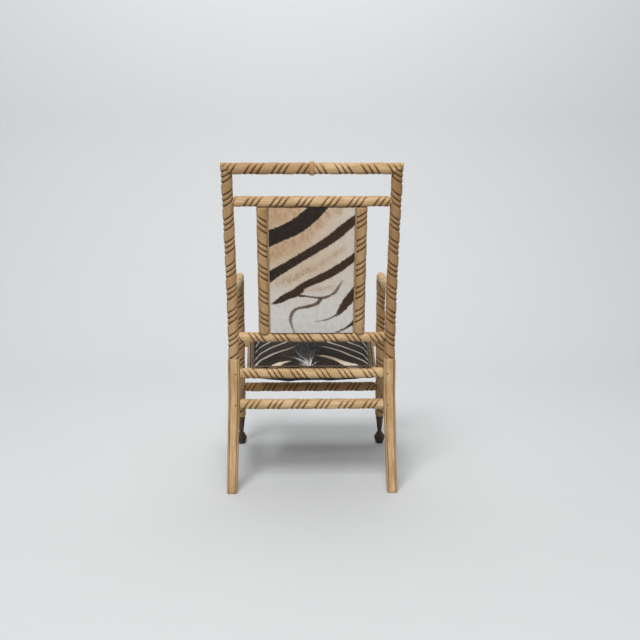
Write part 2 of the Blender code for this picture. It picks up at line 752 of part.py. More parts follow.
def seat_webbing():
    """Straps from front to rear, with a second layer of straps from side to side below them.

    The lower straps turn up to the side rails at their ends.
    """
    run = np.linspace(-1, 1, WEB_STEPS + 1)
    cross_run = np.concatenate(([-1], WEB_TURN_UP * run, [1]))
    edges = np.array([-0.5, 0.5]) * WEB_WIDTH
    middle = (REAR_Y + FRONT_Y) / 2
    for number in range(WEB_STRAPS):
        share = (2 * number + 1) / WEB_STRAPS - 1
        centre = share * SEAT_SIDE_REAR_X * WEB_SPREAD
        plan_x, plan_y = np.meshgrid(edges + centre, middle + run * SEAT_DEPTH / 2)
        web_strap(f"web_strap_long_{number + 1}", plan_x, plan_y, 0.0)
        cross_y = edges + middle + share * SEAT_DEPTH / 2 * WEB_SPREAD
        plan_y, plan_run = np.meshgrid(cross_y, cross_run, indexing="ij")
        plan_x = plan_run * seat_side_x(plan_y)
        layer_drop = np.where(abs(plan_run) < 1, WEB_THICKNESS + WEB_LAYER_GAP, 0.0)
        web_strap(f"web_strap_cross_{number + 1}", plan_x, plan_y, layer_drop)


def seat():
    """Webbing, stuffing, hide, gimp cord and the black cloth that sags below."""
    seat_webbing()
    inset = SEAT_RAIL_DIA / 2 + SOFT_GAP
    inner_y = np.linspace(REAR_Y + inset, FRONT_Y - inset, 2)
    row_shares = rounded_stations(SEAT_ROWS + 1)
    column_shares = rounded_stations(SEAT_COLUMNS + 1)
    y_line = inner_y.mean() + row_shares * np.ptp(inner_y) / 2
    across, plan_y = np.meshgrid(column_shares, y_line)
    plan_x = across * (seat_side_x(plan_y) - inset)
    along = np.meshgrid(column_shares, row_shares)[1]
    rim = seat_rail_height(plan_y) + SEAT_RAIL_DIA / 2 + FIT
    hide_under = rim + SEAT_EDGE_LIFT + SEAT_CROWN * crown(across, along)
    soft_part("seat_stuffing", (plan_x, plan_y), hide_under - SOFT_GAP, web_top(plan_x, plan_y) + WEB_CLEARANCE,
              "stuffing_fibre")

    hide_y = np.concatenate(([REAR_Y], y_line, [FRONT_Y]))
    outer_y = np.repeat(hide_y[:, None], SEAT_COLUMNS + 3, axis=1)
    side = seat_side_x(hide_y)[:, None]
    outer_x = np.concatenate((-side, column_shares * (side - inset), side), axis=1)
    under = seat_rail_height(outer_y) + SEAT_RAIL_DIA / 2 + FIT
    under[1:-1, 1:-1] = hide_under
    soft_part("seat_hide", (outer_x, outer_y), under + HIDE_THICKNESS, under, "dark_hide")

    lobes = 1 - DUST_LOBE * np.cos(math.pi * outer_x / seat_side_x(outer_y)) ** 2
    drop = np.full_like(outer_x, FIT + WEB_THICKNESS + FIT)
    drop[1:-1, 1:-1] = FIT + 2 * (WEB_THICKNESS + WEB_LAYER_GAP)
    sag = (WEB_SAG + DUST_SLACK * lobes) * sag_share(outer_x, outer_y)
    cloth = seat_rail_under(outer_y) - drop - sag
    soft_part("seat_dust_cover", (outer_x, outer_y), cloth, cloth - DUST_THICKNESS, "black_cloth")
    seat_gimp()


def seat_gimp():
    """Cord round the edge of the seat hide, lying on the rails."""
    curve = bpy.data.curves.new("seat_gimp", "CURVE")
    curve.dimensions = "3D"
    curve.bevel_depth = GIMP_DIA / 2
    curve.bevel_resolution = 1
    spline = curve.splines.new("POLY")
    inset = GIMP_DIA / 2
    hide_slope = SEAT_EDGE_LIFT / (SEAT_RAIL_DIA / 2 + SOFT_GAP)
    lift = SEAT_RAIL_DIA / 2 + FIT + HIDE_THICKNESS + FIT + GIMP_DIA * (0.5 + hide_slope)
    corners = []
    for side, y in ((-1, REAR_Y + inset), (1, REAR_Y + inset), (1, FRONT_Y - inset), (-1, FRONT_Y - inset)):
        corners.append((side * (seat_side_x(y) - inset), y, seat_rail_height(y) + lift, 1.0))
    spline.points.add(len(corners) - 1)
    for point, corner in zip(spline.points, corners):
        point.co = corner
    spline.use_cyclic_u = True
    cord = bpy.data.objects.new("seat_gimp_cord", curve)
    CHAIR.objects.link(cord)
    graph = bpy.context.evaluated_depsgraph_get()
    mesh = bpy.data.meshes.new_from_object(cord.evaluated_get(graph))
    bpy.data.objects.remove(cord)
    add_part("seat_gimp", mesh, "gimp_braid")


def back_frame(posts):
    """Rails and stiles between the rear posts, above the seat."""
    stretch = {}
    plan = (
        ("upper_back_rail", UPPER_BACK_RAIL_Z, BACK_RAIL_DIA, POST_DIA),
        ("lower_back_rail", LOWER_BACK_RAIL_Z, BACK_RAIL_DIA, POST_DIA),
        ("seat_rail_rear", SEAT_RAIL_Z, SEAT_RAIL_DIA, LEG_TOP_WIDTH),
        ("stretcher_rear", REAR_STRETCHER_Z, STRETCHER_DIA, LEG_TOP_WIDTH),
    )
    for name, z, diameter, host in plan:
        ends = (rear_point(z, -1), rear_point(z, 1))
        axes = (rear_axis(z, -1), rear_axis(z, 1))
        hosts = (posts["left"], posts["right"])
        stretch[name] = jointed_stick(name, ends, hosts, axes, (host, host), diameter)
    stiles = {}
    for side_name, side in SIDES.items():
        low = rear_point(LOWER_BACK_RAIL_Z, 1)
        high = rear_point(UPPER_BACK_RAIL_Z, 1)
        ends = (Vector((side * STILE_X, low.y, low.z)), Vector((side * STILE_X, high.y, high.z)))
        hosts = (stretch["lower_back_rail"], stretch["upper_back_rail"])
        stiles[side_name] = jointed_stick(f"back_stile_{side_name}", ends, hosts, (ACROSS, ACROSS),
                                          (BACK_RAIL_DIA, BACK_RAIL_DIA), STILE_DIA)
    back_panel(stiles)
    return stretch


def front_frame(front_posts):
    """Seat rail and stretcher between the front posts."""
    rails = {}
    plan = (
        ("seat_rail_front", SEAT_RAIL_Z + SEAT_FRONT_RISE, SEAT_RAIL_DIA),
        ("stretcher_front", FRONT_STRETCHER_Z, STRETCHER_DIA),
    )
    for name, z, diameter in plan:
        ends = (front_point(z, -1), front_point(z, 1))
        hosts = (front_posts["left"], front_posts["right"])
        rails[name] = jointed_stick(name, ends, hosts, (UP, UP), (FRONT_DIA, FRONT_DIA), diameter)
    return rails


def side_frame(posts, front_posts, rear_rail, front_rail):
    """Side stretchers between the posts, and side seat rails between the two seat rails."""
    for side_name, side in SIDES.items():
        z = SIDE_STRETCHER_Z
        ends = (rear_point(z, side), front_point(z, side))
        hosts = (posts[side_name], front_posts[side_name])
        axes = (rear_axis(z, side), UP)
        jointed_stick(f"stretcher_{side_name}", ends, hosts, axes, (LEG_TOP_WIDTH, FRONT_DIA), STRETCHER_DIA)
        ends = (Vector((side * SEAT_SIDE_REAR_X, REAR_Y, SEAT_RAIL_Z)),
                Vector((side * SEAT_SIDE_FRONT_X, FRONT_Y, SEAT_RAIL_Z + SEAT_FRONT_RISE)))
        jointed_stick(f"seat_rail_{side_name}", ends, (rear_rail, front_rail), (ACROSS, ACROSS),
                      (SEAT_RAIL_DIA, SEAT_RAIL_DIA), SEAT_RAIL_DIA)


def build():
    """Build the whole chair, from the rear posts to the seat."""
    posts = {}
    crest_corners = {}
    crest_ends = {}
    for side_name, side in SIDES.items():
        upward = rear_axis(CREST_Z, side)
        outward = ACROSS * side
        posts[side_name] = rear_post(side_name, End(mitre_normal(upward, outward), FIT / 2, 0.0))
        crest_corners[side_name] = rear_point(CREST_Z, side)
        crest_ends[side_name] = End(mitre_normal(outward, upward), FIT / 2, 0.0)
    crest = crest_rail(crest_corners["left"], crest_corners["right"], crest_ends["left"])
    for side_name in SIDES:
        mitre_dowel(f"crest_dowel_{side_name}", crest_corners[side_name], crest_ends[side_name].normal,
                    (posts[side_name], crest))

    front_posts = {}
    for side_name, side in SIDES.items():
        corner = front_point(ARM_FRONT_Z, side)
        rear_joint = rear_point(ARM_REAR_Z, side)
        along = (corner - rear_joint).normalized()
        front_posts[side_name] = front_post(side_name, End(mitre_normal(UP, along), FIT / 2, 0.0))
        near = shoulder_end(along, rear_axis(ARM_REAR_Z, side), POST_DIA)
        far = End(mitre_normal(along, UP), FIT / 2, 0.0)
        arm = carved_stick(f"arm_{side_name}", rear_joint, corner, FRONT_DIA, near, far)
        socket(posts[side_name], arm, rear_joint, along, near)
        mitre_dowel(f"arm_dowel_{side_name}", corner, far.normal, (front_posts[side_name], arm))
        front_foot(side_name, front_posts[side_name])

    back = back_frame(posts)
    front = front_frame(front_posts)
    side_frame(posts, front_posts, back["seat_rail_rear"], front["seat_rail_front"])
    for side_name, side in SIDES.items():
        for rail, z in (("seat_rail_rear", SEAT_RAIL_Z), ("stretcher_rear", REAR_STRETCHER_Z)):
            joint_peg(f"{rail}_peg_{side_name}", side, z, (posts[side_name], back[rail]))
    seat()


build()
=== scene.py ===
"""Armchair carved as rope, dressed for its picture: fine carving, striped hide, seat trim and a plain studio.

Metres, +Z up. The back of the chair faces -Y and the sitter looks along +Y. Left is the sitter's left, -X.
"""
import logging
import math
from dataclasses import dataclass, field
from enum import Enum, IntEnum
from typing import Any, NamedTuple, Sequence

import bpy
import numpy as np
from bpy.types import Material, Mesh, Node, NodeSocket as Socket, NodeTree, Object
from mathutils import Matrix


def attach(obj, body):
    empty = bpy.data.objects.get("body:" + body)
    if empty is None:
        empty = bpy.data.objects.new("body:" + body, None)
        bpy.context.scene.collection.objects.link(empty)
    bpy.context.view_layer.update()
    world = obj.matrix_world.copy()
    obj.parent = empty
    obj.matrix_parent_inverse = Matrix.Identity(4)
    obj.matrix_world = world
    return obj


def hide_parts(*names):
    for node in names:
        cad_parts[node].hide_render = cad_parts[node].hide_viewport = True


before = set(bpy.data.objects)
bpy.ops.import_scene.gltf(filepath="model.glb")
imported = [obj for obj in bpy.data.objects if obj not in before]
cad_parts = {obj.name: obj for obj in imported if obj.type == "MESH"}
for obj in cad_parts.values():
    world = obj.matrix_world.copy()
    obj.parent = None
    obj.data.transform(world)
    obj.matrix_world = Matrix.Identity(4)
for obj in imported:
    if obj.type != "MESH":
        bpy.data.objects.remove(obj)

Array = np.ndarray
Triple = tuple[float, float, float]
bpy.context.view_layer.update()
LOG = logging.getLogger("armchair")
BODY = "root"
TURN = 2 * math.pi
QUARTER = math.pi / 2
UP = np.array((0.0, 0.0, 1.0))
ACROSS = np.array((1.0, 0.0, 0.0))
FORWARD = np.array((0.0, 1.0, 0.0))
# Clearance between two solids.
FIT = 0.0003
# Points on a grid crowd towards its edges: a sine over this share of a half turn.
CROWDING = 0.86
# Crease angle in degrees past every edge, for surfaces that are smooth all over.
NO_CREASE = 180.0


class Side(IntEnum):
    """Side of the chair, as the sign of X."""

    LEFT = -1
    RIGHT = 1

    @property
    def label(self) -> str:
        """Word for the side in names."""
        return self.name.lower()


class Hand(IntEnum):
    """Hand of a rope's helix."""

    LEFT = -1
    RIGHT = 1


class EndKind(Enum):
    """How a carved stick ends."""

    TENON = "rounded shoulder with a round tenon"
    MITRE = "flat sloping cut"
    BUTT = "flat cut with a rounded rim"


def unit(vector: Array) -> Array:
    """Vectors of length 1 along the last axis."""
    return vector / np.linalg.norm(vector, axis=-1, keepdims=True)


def smooth(share: Array) -> Array:
    """Ease from 0 to 1 with level ends: 3t^2 - 2t^3, held at 0 and 1 outside."""
    held = np.clip(share, 0.0, 1.0)
    return held * held * (3.0 - 2.0 * held)


def crowded(count: int) -> Array:
    """Shares from -1 to 1, closer together towards both ends."""
    return np.sin(np.linspace(-QUARTER, QUARTER, count) * CROWDING) / math.sin(CROWDING / 2 * math.pi)


def about_axis(radius: Array, angle: Array, place: Array) -> Array:
    """Points about the Z axis, from radius, angle and place along it."""
    return np.stack((radius * np.cos(angle), radius * np.sin(angle), place), axis=-1)


class Ease(NamedTuple):
    """Smooth rise of a share from 0 to 1, which starts at a value and takes a span, below 0 for a fall."""

    start: float
    span: float

    def at(self, value: Array) -> Array:
        """Share at a value."""
        return smooth((value - self.start) / self.span)


class Bell(NamedTuple):
    """Bell curve: height exp(-((value - middle) / half)^2)."""

    middle: float
    half: float
    height: float = 1.0

    def at(self, value: Array) -> Array:
        """Height at a value."""
        return self.height * np.exp(-((value - self.middle) / self.half) ** 2)


@dataclass(frozen=True)
class ChairPlan:
    """Places and sizes of the frame, in metres, as the solids have them."""

    crest_z: float = 1.001
    upper_back_rail_z: float = 0.9045
    lower_back_rail_z: float = 0.479
    seat_rail_z: float = 0.3635
    seat_front_rise: float = 0.007
    side_stretcher_z: float = 0.232
    rear_stretcher_z: float = 0.2655
    front_stretcher_z: float = 0.208
    arm_front_z: float = 0.602
    arm_rear_z: float = 0.621
    rear_post_x: float = 0.2425
    front_post_x: float = 0.2485
    stile_x: float = 0.1465
    seat_side_rear_x: float = 0.186
    seat_side_front_x: float = 0.206
    rear_y: float = -0.1523
    seat_depth: float = 0.457
    back_bend_z: float = 0.430
    leg_bend_z: float = 0.300
    back_rake: float = 0.150
    leg_kick: float = 0.074
    back_splay: float = 0.0044
    leg_splay: float = 0.0065
    back_curve: float = 1.5
    leg_curve: float = 1.2
    leg_top_z: float = 0.410
    foot_height: float = 0.0985
    post_dia: float = 0.0340
    crest_dia: float = 0.0342
    back_rail_dia: float = 0.0315
    stile_dia: float = 0.0345
    seat_rail_dia: float = 0.0335
    stretcher_dia: float = 0.0330
    front_dia: float = 0.0325
    leg_width: float = 0.0365
    axis_step: float = 0.002

    @property
    def front_y(self) -> float:
        """Depth of the front posts."""
        return self.rear_y + self.seat_depth

    @property
    def middle_y(self) -> float:
        """Depth of the seat's middle."""
        return self.rear_y + self.seat_depth / 2

    def rear_point(self, z: float | Array, side: Side) -> Array:
        """Points on a rear post's centre line.

        It is raked by a power of the rise above one bend, and kicked by a power of the fall below another.

        Args:
            z: Heights above the floor.
            side: Which post.

        Returns:
            One point for each height.
        """
        z = np.asarray(z, float)
        rise = np.maximum(0.0, (z - self.back_bend_z) / (self.crest_z - self.back_bend_z))
        fall = np.maximum(0.0, (self.leg_bend_z - z) / self.leg_bend_z)
        x = self.rear_post_x + self.back_splay * rise + self.leg_splay * fall
        y = self.rear_y - self.back_rake * rise ** self.back_curve - self.leg_kick * fall ** self.leg_curve
        return np.stack((side * x, y, z), axis=-1)

    def rear_axis(self, z: float | Array, side: Side) -> Array:
        """Directions of a rear post, from points a step above and below each height."""
        z = np.asarray(z, float)
        return unit(self.rear_point(z + self.axis_step, side) - self.rear_point(z - self.axis_step, side))

    def front_point(self, z: float, side: Side) -> Array:
        """Point on a front post's centre line."""
        return np.array((side * self.front_post_x, self.front_y, z))

    def seat_half(self, y: Array) -> Array:
        """Half spacing of the side rails, which widens evenly from the rear to the front."""
        share = (y - self.rear_y) / self.seat_depth
        return self.seat_side_rear_x + (self.seat_side_front_x - self.seat_side_rear_x) * share

    def seat_rail_height(self, y: Array) -> Array:
        """Height of the seat rails' centre lines, which rises evenly to the front."""
        return self.seat_rail_z + self.seat_front_rise * (y - self.rear_y) / self.seat_depth

    def seat_rail_top(self, y: Array) -> Array:
        """Height of the seat rails' upper sides."""
        return self.seat_rail_height(y) + self.seat_rail_dia / 2


PLAN = ChairPlan()


@dataclass(frozen=True)
class Frames:
    """Centre points of a path with two directions square to it, one row for each place asked for."""

    centre: Array
    across: Array
    over: Array
    along: Array

    @classmethod
    def about(cls, centre: Array, along: Array, guide: Array) -> "Frames":
        """Frames on a path: the guide without its part along the path, and the cross product.

        Args:
            centre: Points on the path.
            along: Unit directions of the path.
            guide: Direction that the first one follows as nearly as it can.

        Returns:
            The frames, with all directions in the points' shape.
        """
        across = unit(guide - along * np.sum(along * guide, axis=-1, keepdims=True))
        return cls(*np.broadcast_arrays(centre, across, np.cross(along, across), along))

    def point(self, angle: Array, radius: Array) -> Array:
        """Points at an angle and radius about the path: centre + r cos(angle) across + r sin(angle) over."""
        reach_across = (radius * np.cos(angle))[..., None]
        reach_over = (radius * np.sin(angle))[..., None]
        return self.centre + reach_across * self.across + reach_over * self.over


@dataclass(frozen=True)
class StraightPath:
    """Straight line between two joint centres."""

    start: Array
    finish: Array

    @property
    def length(self) -> float:
        """Distance between the joint centres."""
        return float(np.linalg.norm(self.finish - self.start))

    @property
    def steep(self) -> bool:
        """Whether the line is nearer to upright than to level."""
        return abs(self.finish[2] - self.start[2]) > math.sqrt(0.5) * self.length

    @property
    def seen(self) -> float:
        """Angle of the face towards the rear."""
        return -QUARTER if self.steep else QUARTER

    def frames(self, place: Array) -> Frames:
        """Frames at distances from the first joint; a level stick is guided by +Z and a steep one by +X."""
        along = unit(self.finish - self.start)
        return Frames.about(self.start + place[..., None] * along, along, ACROSS if self.steep else UP)


@dataclass(frozen=True)
class PostPath:
    """Bent centre line of a rear post, measured along its curve from the top of the plain leg."""

    side: Side
    seen: float = -QUARTER
    lowest: float = -0.03
    highest: float = PLAN.crest_z + 0.07
    steps: int = 1500

    def table(self) -> tuple[Array, Array]:
        """Heights on the post, and the length of the curve from the leg's top up to each of them."""
        z = np.linspace(self.lowest, self.highest, self.steps)
        steps = np.linalg.norm(np.diff(PLAN.rear_point(z, self.side), axis=0), axis=1)
        lengths = np.concatenate(([0.0], np.cumsum(steps)))
        return z, lengths - np.interp(PLAN.leg_top_z, z, lengths)

    @property
    def length(self) -> float:
        """Length of the curve from the leg's top to the crest's corner."""
        return float(np.interp(PLAN.crest_z, *self.table()))

    def frames(self, place: Array) -> Frames:
        """Frames at lengths along the curve, guided by +X."""
        z, lengths = self.table()
        height = np.interp(place, lengths, z)
        return Frames.about(PLAN.rear_point(height, self.side), PLAN.rear_axis(height, self.side), ACROSS)


@dataclass(frozen=True)
class MeshData:
    """Points, faces and named point values of one mesh.

    Faces all have the same number of corners. A value is a number or a vector for each point.
    """

    points: Array
    faces: Array
    values: dict[str, Array] = field(default_factory=dict)

    def welded(self, within: float = 1e-6) -> "MeshData":
        """The same mesh with equal points made one, and the faces that lost a corner dropped."""
        keys = np.round(self.points / within).astype(np.int64)
        _, first, index = np.unique(keys, axis=0, return_index=True, return_inverse=True)
        faces = index.reshape(-1)[self.faces]
        whole = np.all(faces != np.roll(faces, -1, axis=1), axis=1)
        kept = {name: value[first] for name, value in self.values.items()}
        return MeshData(self.points[first], faces[whole], kept)

    def mesh(self, name: str, sharp: float = 50.0) -> Mesh:
        """Make the Blender mesh, smooth up to an angle.

        Args:
            name: Name of the mesh.
            sharp: Angle in degrees past which an edge shows as a crease.

        Returns:
            The mesh with its point values as attributes.
        """
        mesh = bpy.data.meshes.new(name)
        count, corners = self.faces.shape
        mesh.vertices.add(len(self.points))
        mesh.vertices.foreach_set("co", np.ascontiguousarray(self.points, np.float32).ravel())
        mesh.loops.add(count * corners)
        mesh.loops.foreach_set("vertex_index", np.ascontiguousarray(self.faces, np.int32).ravel())
        mesh.polygons.add(count)
        mesh.polygons.foreach_set("loop_start", np.arange(0, count * corners, corners, dtype=np.int32))
        mesh.update(calc_edges=True)
        mesh.validate()
        set_values(mesh, self.values)
        mesh.shade_smooth()
        mesh.set_sharp_from_angle(angle=math.radians(sharp))
        return mesh


def placed(name: str, data: Any) -> Object:
    """New object in the scene for a mesh, a lamp or a camera."""
    thing = bpy.data.objects.new(name, data)
    bpy.context.scene.collection.objects.link(thing)
    return thing


def set_values(mesh: Mesh, values: dict[str, Array]) -> None:
    """Store point values on a mesh as attributes.

    Args:
        mesh: Mesh that gets them.
        values: Numbers or vectors for each point, by name.
    """
    for name, value in values.items():
        kind, key = ("FLOAT_VECTOR", "vector") if value.ndim == 2 else ("FLOAT", "value")
        layer = mesh.attributes.new(name, kind, "POINT")
        layer.data.foreach_set(key, np.ascontiguousarray(value, np.float32).ravel())


def mesh_points(mesh: Mesh) -> Array:
    """Points of a mesh as an array of rows."""
    points = np.empty(len(mesh.vertices) * 3, np.float32)
    mesh.vertices.foreach_get("co", points)
    return points.reshape(-1, 3).astype(float)


def grid_quads(rows: int, columns: int) -> Array:
    """Faces of a grid of points, turned so that columns x rows gives the outer side."""
    index = np.arange(rows * columns).reshape(rows, columns)
    corners = (index[:-1, :-1], index[:-1, 1:], index[1:, 1:], index[1:, :-1])
    return np.stack(corners, axis=-1).reshape(-1, 4)


def triangles(quads: Array) -> Array:
    """Each four-cornered face cut into two triangles."""
    return np.concatenate((quads[:, [0, 1, 2]], quads[:, [0, 2, 3]]))


def many_grids(points: Array) -> tuple[Array, Array]:
    """Points and triangles of many grids at once, from an array of grids, rows, columns and coordinates."""
    copies, rows, columns = points.shape[:3]
    faces = triangles(grid_quads(rows, columns))
    faces = faces[None] + np.arange(copies)[:, None, None] * rows * columns
    return points.reshape(-1, 3), faces.reshape(-1, 3)


def closed_grid(points: Array, values: dict[str, Array]) -> MeshData:
    """Closed body from a grid whose last column meets its first and whose end rows are closed.

    Args:
        points: Array of rows, columns and coordinates.
        values: Arrays of rows and columns, with coordinates for a vector.

    Returns:
        Triangles with the seam and the ends welded.
    """
    rows, columns = points.shape[:2]
    flat = {name: value.reshape((rows * columns,) + value.shape[2:]) for name, value in values.items()}
    return MeshData(points.reshape(-1, 3), triangles(grid_quads(rows, columns)), flat).welded()


def capped(body: Array, first: Array, last: Array) -> Array:
    """Grid of points with one more row at each end, which repeats a single point."""
    ends = [np.repeat(point[None, None], body.shape[1], axis=1) for point in (first, last)]
    return np.concatenate((ends[0], body, ends[1]))


def pillow_grid(upper: Array, lower: Array) -> MeshData:
    """Closed body between two grids of points that share their outer edge.

    Args:
        upper: Array of rows, columns and coordinates of the upper side.
        lower: The same for the lower side.

    Returns:
        Four-cornered faces, welded along the edge.
    """
    rows, columns = upper.shape[:2]
    quads = grid_quads(rows, columns)
    points = np.concatenate((upper.reshape(-1, 3), lower.reshape(-1, 3)))
    return MeshData(points, np.concatenate((quads, quads[:, ::-1] + rows * columns))).welded()


def thick_cloth(x: Array, y: Array, top: Array, thickness: float) -> MeshData:
    """Cloth of one thickness below a height field, closed along its outer edge.

    Args:
        x: Plan places across, in rows and columns.
        y: Plan places along.
        top: Heights of the upper side.
        thickness: Thickness away from the edge.

    Returns:
        The closed cloth with its place in plan.
    """
    inner = np.pad(np.ones((x.shape[0] - 2, x.shape[1] - 2), bool), 1)
    low = np.where(inner, top - thickness, top)
    data = pillow_grid(*(np.stack((x, y, z), axis=-1) for z in (top, low)))
    return MeshData(data.points, data.faces, {"cloth_place": data.points * (1, 1, 0)})


Colour = Triple


class Ramp(NamedTuple):
    """Range of a value, and the range that it is eased to."""

    low: float
    high: float
    to_low: float = 0.0
    to_high: float = 1.0


def rgba(colour: Colour | Socket) -> Any:
    """Colour with an alpha of 1, or the socket that was passed."""
    return colour if isinstance(colour, Socket) else (*colour, 1.0)


class NodeSheet:
    """Adds and links the nodes of one material, world or node group."""

    def __init__(self, tree: NodeTree) -> None:
        """Keep the tree that gets the nodes."""
        self.tree = tree

    def add(self, kind: str, inputs: dict[Any, Any] | None = None, **settings: Any) -> Node:
        """Add a node.

        Args:
            kind: Blender's name for the type of node.
            inputs: Values or sockets for its inputs, by name or number.
            **settings: Properties of the node.

        Returns:
            The new node.
        """
        node = self.tree.nodes.new(kind)
        for name, value in settings.items():
            setattr(node, name, value)
        for socket, value in (inputs or {}).items():
            if isinstance(value, Socket):
                self.tree.links.new(value, node.inputs[socket])
            else:
                node.inputs[socket].default_value = value
        return node

    def feed(self, shader: Node, **sockets: Socket) -> None:
        """Link sockets to a shader's inputs; an underscore in a name stands for a space."""
        for name, socket in sockets.items():
            self.tree.links.new(socket, shader.inputs[name.replace("_", " ")])

    def place(self, name: str) -> Socket:
        """Vector that the mesh stores under a name."""
        return self.add("ShaderNodeAttribute", attribute_name=name).outputs["Vector"]

    def value(self, name: str) -> Socket:
        """Number that the mesh stores under a name."""
        return self.add("ShaderNodeAttribute", attribute_name=name).outputs["Fac"]

    def here(self) -> Socket:
        """Place in the object's own coordinates."""
        return self.add("ShaderNodeTexCoord").outputs["Object"]

    def stretched(self, place: Socket, scale: Sequence[float]) -> Socket:
        """Place multiplied along each axis."""
        node = self.add("ShaderNodeVectorMath", {0: place, 1: tuple(scale)}, operation="MULTIPLY")
        return node.outputs["Vector"]

    def noise(self, place: Socket, scale: float, detail: float = 3.0, roughness: float = 0.55) -> Socket:
        """Noise from 0 to 1 about a place."""
        inputs = {"Vector": place, "Scale": scale, "Detail": detail, "Roughness": roughness}
        return self.add("ShaderNodeTexNoise", inputs).outputs[0]

    def math(self, operation: str, first: Any, second: Any = 0.0) -> Socket:
        """Sum on one or two numbers."""
        return self.add("ShaderNodeMath", {0: first, 1: second}, operation=operation).outputs[0]

    def times(self, first: Any, second: Any) -> Socket:
        """Product of two numbers."""
        return self.math("MULTIPLY", first, second)

    def plus(self, first: Any, second: Any) -> Socket:
        """Sum of two numbers."""
        return self.math("ADD", first, second)

    def weighted(self, first: Socket, share: float, second: Socket, other_share: float) -> Socket:
        """Sum of two numbers, each times its share."""
        return self.plus(self.times(first, share), self.times(second, other_share))

    def spread(self, value: Any, low: float, high: float, to_low: float = 0.0, to_high: float = 1.0) -> Socket:
        """Value eased from one range to another and held at its ends."""
        inputs = {"Value": value, "From Min": low, "From Max": high, "To Min": to_low, "To Max": to_high}
        return self.add("ShaderNodeMapRange", inputs, interpolation_type="SMOOTHSTEP").outputs[0]

    def mix(self, share: Any, first: Any, second: Any, blend: str = "MIX") -> Socket:
        """Colour between two colours."""
        inputs = {0: share, 6: rgba(first), 7: rgba(second)}
        return self.add("ShaderNodeMix", inputs, data_type="RGBA", blend_type=blend).outputs[2]

    def bump(self, height: Socket, strength: float, distance: float) -> Socket:
        """Normal from a height between 0 and 1, with its depth in metres."""
        inputs = {"Height": height, "Strength": strength, "Distance": distance}
        return self.add("ShaderNodeBump", inputs).outputs["Normal"]


class NoiseLayer(NamedTuple):
    """One noise of a shared group: its label, the stretch of its place, its scale, detail and roughness."""

    label: str
    stretch: Triple
    scale: float
    detail: float
    roughness: float


@dataclass(frozen=True)
class NoiseGroup:
    """Shared shader group that gives several noises about a place, each from 0 to 1."""

    name: str
    span: Ramp
    layers: tuple[NoiseLayer, ...]

    def tree(self) -> NodeTree:
        """The group's nodes, made at their first use."""
        if self.name in bpy.data.node_groups:
            return bpy.data.node_groups[self.name]
        tree = bpy.data.node_groups.new(self.name, "ShaderNodeTree")
        tree.interface.new_socket(name="Place", in_out="INPUT", socket_type="NodeSocketVector")
        for layer in self.layers:
            tree.interface.new_socket(name=layer.label, in_out="OUTPUT", socket_type="NodeSocketFloat")
        sheet = NodeSheet(tree)
        place = sheet.add("NodeGroupInput").outputs["Place"]
        made = sheet.add("NodeGroupOutput")
        for label, stretch, *settings in self.layers:
            noise = sheet.noise(sheet.stretched(place, stretch), *settings)
            tree.links.new(sheet.spread(noise, *self.span), made.inputs[label])
        return tree

    def use(self, sheet: NodeSheet, place: Socket) -> list[Socket]:
        """Put the group in a material and give its outputs in order."""
        node = sheet.add("ShaderNodeGroup", node_tree=self.tree())
        sheet.tree.links.new(place, node.inputs["Place"])
        return [node.outputs[layer.label] for layer in self.layers]


# Streaks along a stick, fine pores and broad clouds, about a place whose Z runs along the grain.
WOOD_GRAIN = NoiseGroup("wood_grain", Ramp(0.3, 0.7), (
    NoiseLayer("Streak", (1.0, 1.0, 0.05), 230.0, 4.0, 0.6),
    NoiseLayer("Pore", (1.0, 1.0, 0.045), 1500.0, 2.0, 0.6),
    NoiseLayer("Cloud", (1.0, 1.0, 0.35), 38.0, 3.0, 0.5),
))
# Strands, tufts and broad patches of a short coat, about a place whose Y runs along the hair.
HAIR_COAT = NoiseGroup("hair_coat", Ramp(0.28, 0.72), (
    NoiseLayer("Strand", (1.0, 0.10, 1.0), 1300.0, 2.0, 0.6),
    NoiseLayer("Tuft", (1.0, 0.40, 1.0), 240.0, 4.0, 0.65),
    NoiseLayer("Patch", (1.0, 0.55, 1.0), 70.0, 4.0, 0.7),
))


@dataclass(frozen=True)
class Finish:
    """One finish: its name and the record's slot that it stands for."""

    name: str
    slot: str

    def paint(self, sheet: NodeSheet, shader: Node) -> None:
        """Add the nodes of the finish and link them to its shader."""
        raise NotImplementedError

    def material(self) -> Material:
        """The finish's material, made at its first use."""
        if self.name in bpy.data.materials:
            return bpy.data.materials[self.name]
        material = bpy.data.materials.new(self.name)
        material.use_nodes = True
        self.paint(NodeSheet(material.node_tree), material.node_tree.nodes["Principled BSDF"])
        return material


